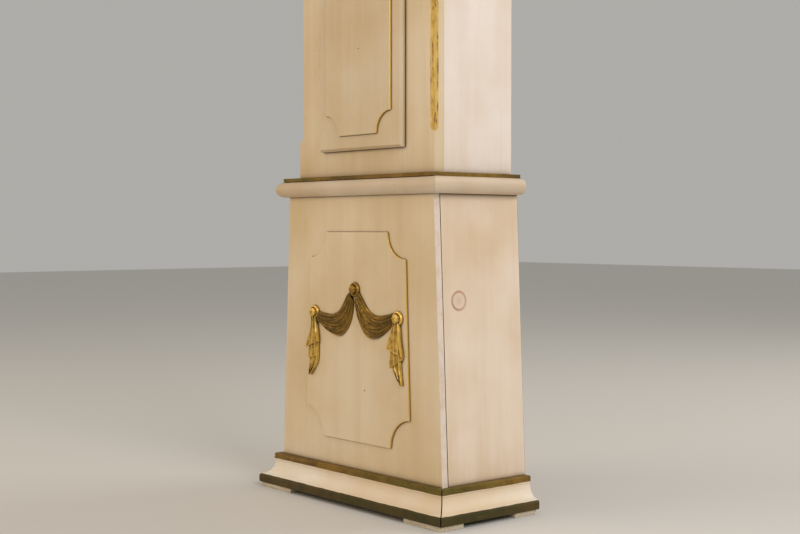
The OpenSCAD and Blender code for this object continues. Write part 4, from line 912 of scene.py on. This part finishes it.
ink = bpy.data.materials.new("black_dial_ink")
ink.use_nodes = True
tree = ink.node_tree
thin = add(tree, "ShaderNodeTexNoise", {"Scale": 1 / (5 * mm), "Detail": 4.0,
                                        "Vector": add(tree, "ShaderNodeTexCoord").outputs["Object"]}).outputs[0]
faded = add(tree, "ShaderNodeMix", {0: thin, 6: linear("#100F0E"), 7: linear("#302C28")}, data_type="RGBA").outputs[2]
tree.links.new(faded, tree.nodes["Principled BSDF"].inputs["Base Color"])
tree.nodes["Principled BSDF"].inputs["Roughness"].default_value = 0.4
dial_low, dial_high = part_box("dial")
dial_face = (rear - dial_low.y) / mm
dial_up = (dial_low.z + dial_high.z) / 2 / mm
ink_h = 0.25
strokes = []
for minute in range(60):
    turn = math.radians(6 * minute)
    inner, outer, wide = (136, 144, 1.1) if minute % 5 == 0 else (139, 144, 0.5)
    across, up = Vector((math.cos(turn), -math.sin(turn))), Vector((math.sin(turn), math.cos(turn)))
    corners = [up * reach + across * side for reach, side in ((inner, -wide), (inner, wide), (outer, wide), (outer, -wide))]
    strokes.append(prism([(c.x, c.y + dial_up) for c in corners], dial_face, dial_face + ink_h))
for radius in (136, 144):
    ring = [(radius - 0.35, dial_face), (radius - 0.35, dial_face + ink_h), (radius + 0.35, dial_face + ink_h),
            (radius + 0.35, dial_face)]
    points, faces = turned(ring, (0, dial_up), 120)
    steps = 120
    faces = faces[:-2] + [(3 * steps + i, 3 * steps + (i + 1) % steps, (i + 1) % steps, i) for i in range(steps)]
    strokes.append((points, faces))
piece("minute_track", *join(strokes), [ink], "case", [], "dial_enamel")
for hour, figure in enumerate(("XII", "I", "II", "III", "IIII", "V", "VI", "VII", "VIII", "IX", "X", "XI")):
    turn = math.radians(30 * hour)
    letters = bpy.data.curves.new("hour_figure_%d" % (hour or 12), "FONT")
    letters.body = figure
    letters.size = 33 * mm
    letters.align_x = "CENTER"
    letters.align_y = "CENTER"
    letters.extrude = ink_h / 2 * mm
    drawn = bpy.data.objects.new(letters.name + "_curve", letters)
    bpy.context.scene.collection.objects.link(drawn)
    bpy.context.view_layer.update()
    mesh = bpy.data.meshes.new_from_object(drawn)
    mesh.name = letters.name
    bpy.data.objects.remove(drawn)
    middle = sum((Vector(v.co) for v in mesh.vertices), Vector()) / len(mesh.vertices)
    for vertex in mesh.vertices:
        x, y = vertex.co.x * 0.62, vertex.co.y - middle.y + 113 * mm
        spot = at(0, dial_face + ink_h / 2, dial_up)
        vertex.co = (spot.x + x * math.cos(turn) + y * math.sin(turn), spot.y + vertex.co.z,
                     spot.z - x * math.sin(turn) + y * math.cos(turn))
    mesh.materials.append(ink)
    drawn = bpy.data.objects.new(mesh.name, mesh)
    bpy.context.scene.collection.objects.link(drawn)
    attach(drawn, "case")

# --- Hands ---
# Sawn from sheet steel, filed to a taper with a pierced ring, and blued by heat.

blued = plain_metal("blued_steel", "#1E2A44", "#15161C", 0.28, 30)
for node in ("hour_hand", "minute_hand"):
    dress(node, [blued], ease=0.25, worn=False)

# --- Pendulum ---
# A straight brass rod on a spring strip, with a lens-shaped bob in polished sheet brass over lead and
# a rating nut beneath it.

bob_brass = plain_metal("polished_bob_brass", "#D8B468", "#B08E4A", 0.2, 60)
dress("pendulum_rod", [brass], ease=0.2, worn=False)
dress("pendulum_bob", [bob_brass], ease=0.5, worn=False)

# --- Weights, pulleys and lines ---
# Two cast-iron weights, each under a brass pulley in an iron stirrup. A twisted gut line comes down
# from the movement, goes under the pulley and back up to the seat board.

iron = plain_metal("blackened_cast_iron", "#3A3734", "#2A2826", 0.6, 14, metallic=0.7)
gut = bpy.data.materials.new("twisted_gut")
gut.use_nodes = True
tree = gut.node_tree
shader = tree.nodes["Principled BSDF"]
place = add(tree, "ShaderNodeTexCoord").outputs["Object"]
shade = add(tree, "ShaderNodeTexNoise", {"Vector": place, "Scale": 1 / (8 * mm), "Detail": 4.0}).outputs[0]
tone = add(tree, "ShaderNodeMix", {0: shade, 6: linear("#C9A76A"), 7: linear("#7E5F32")}, data_type="RGBA").outputs[2]
tree.links.new(tone, shader.inputs["Base Color"])
shader.inputs["Roughness"].default_value = 0.45
shader.inputs["Subsurface Weight"].default_value = 0.1


def twisted(route, radius=0.95, lay=9.0, strands=3, around=6):
    """A laid line along a route of places in metres: strands wound round each other once every lay mm."""
    points, faces = [], []
    for strand in range(strands):
        start = len(points)
        run = 0.0
        for i, spot in enumerate(route):
            ahead = (route[min(i + 1, len(route) - 1)] - route[max(i - 1, 0)]).normalized()
            run += (spot - route[i - 1]).length / mm if i else 0.0
            side = ahead.cross(Vector((0, 1, 0))).normalized()
            other = ahead.cross(side)
            wind = 2 * math.pi * (run / lay + strand / strands)
            middle = spot + (side * math.cos(wind) + other * math.sin(wind)) * radius * 0.46 * mm
            for k in range(around):
                turn = 2 * math.pi * k / around
                points.append(middle + (side * math.cos(turn) + other * math.sin(turn)) * radius * 0.54 * mm)
        for i in range(len(route) - 1):
            for k in range(around):
                a, b = start + i * around + k, start + i * around + (k + 1) % around
                faces.append((a, b, b + around, a + around))
        faces.append(tuple(start + k for k in range(around)))
        faces.append(tuple(len(points) - 1 - k for k in range(around)))
    return points, faces


line_d = (rear - (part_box("going_line")[0].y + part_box("going_line")[1].y) / 2) / mm
line_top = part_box("going_line")[1].z / mm
pulley_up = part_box("going_line")[0].z / mm
pulley_r = 22
barrel_up = (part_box("going_barrel")[0].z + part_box("going_barrel")[1].z) / 2 / mm
for side, name in ((1, "going"), (-1, "strike")):
    dress(name + "_weight", [iron], ease=1.0, worn=False)
    dress(name + "_pulley", [brass], ease=0.2, worn=False)
    inner, outer = 62 * side, 106 * side
    step = 1.5
    levels = [pulley_up + (line_top - pulley_up) * i / 800 for i in range(801)]
    runs = join([twisted([at(x, line_d, z) for z in levels]) for x in (inner, outer)])
    hung = piece(name + "_line_runs", *runs, [gut], "case", [name + "_line"], "gut_line")
    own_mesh(hung)
    bend = [at(84 * side + pulley_r * math.cos(a), line_d, pulley_up + pulley_r * math.sin(a))
            for a in (math.radians(180 + 180 * i / 46) for i in range(47))]
    piece(name + "_line_bend", *twisted(bend), [gut], side > 0 and "going_mass" or "strike_mass", [], "gut_line")
    climb = [at(inner, line_d, z) for z in (line_top + step * i for i in range(int((barrel_up - line_top) / step) + 1))]
    piece(name + "_line_end", *twisted(climb), [gut], "case", [], "gut_line")
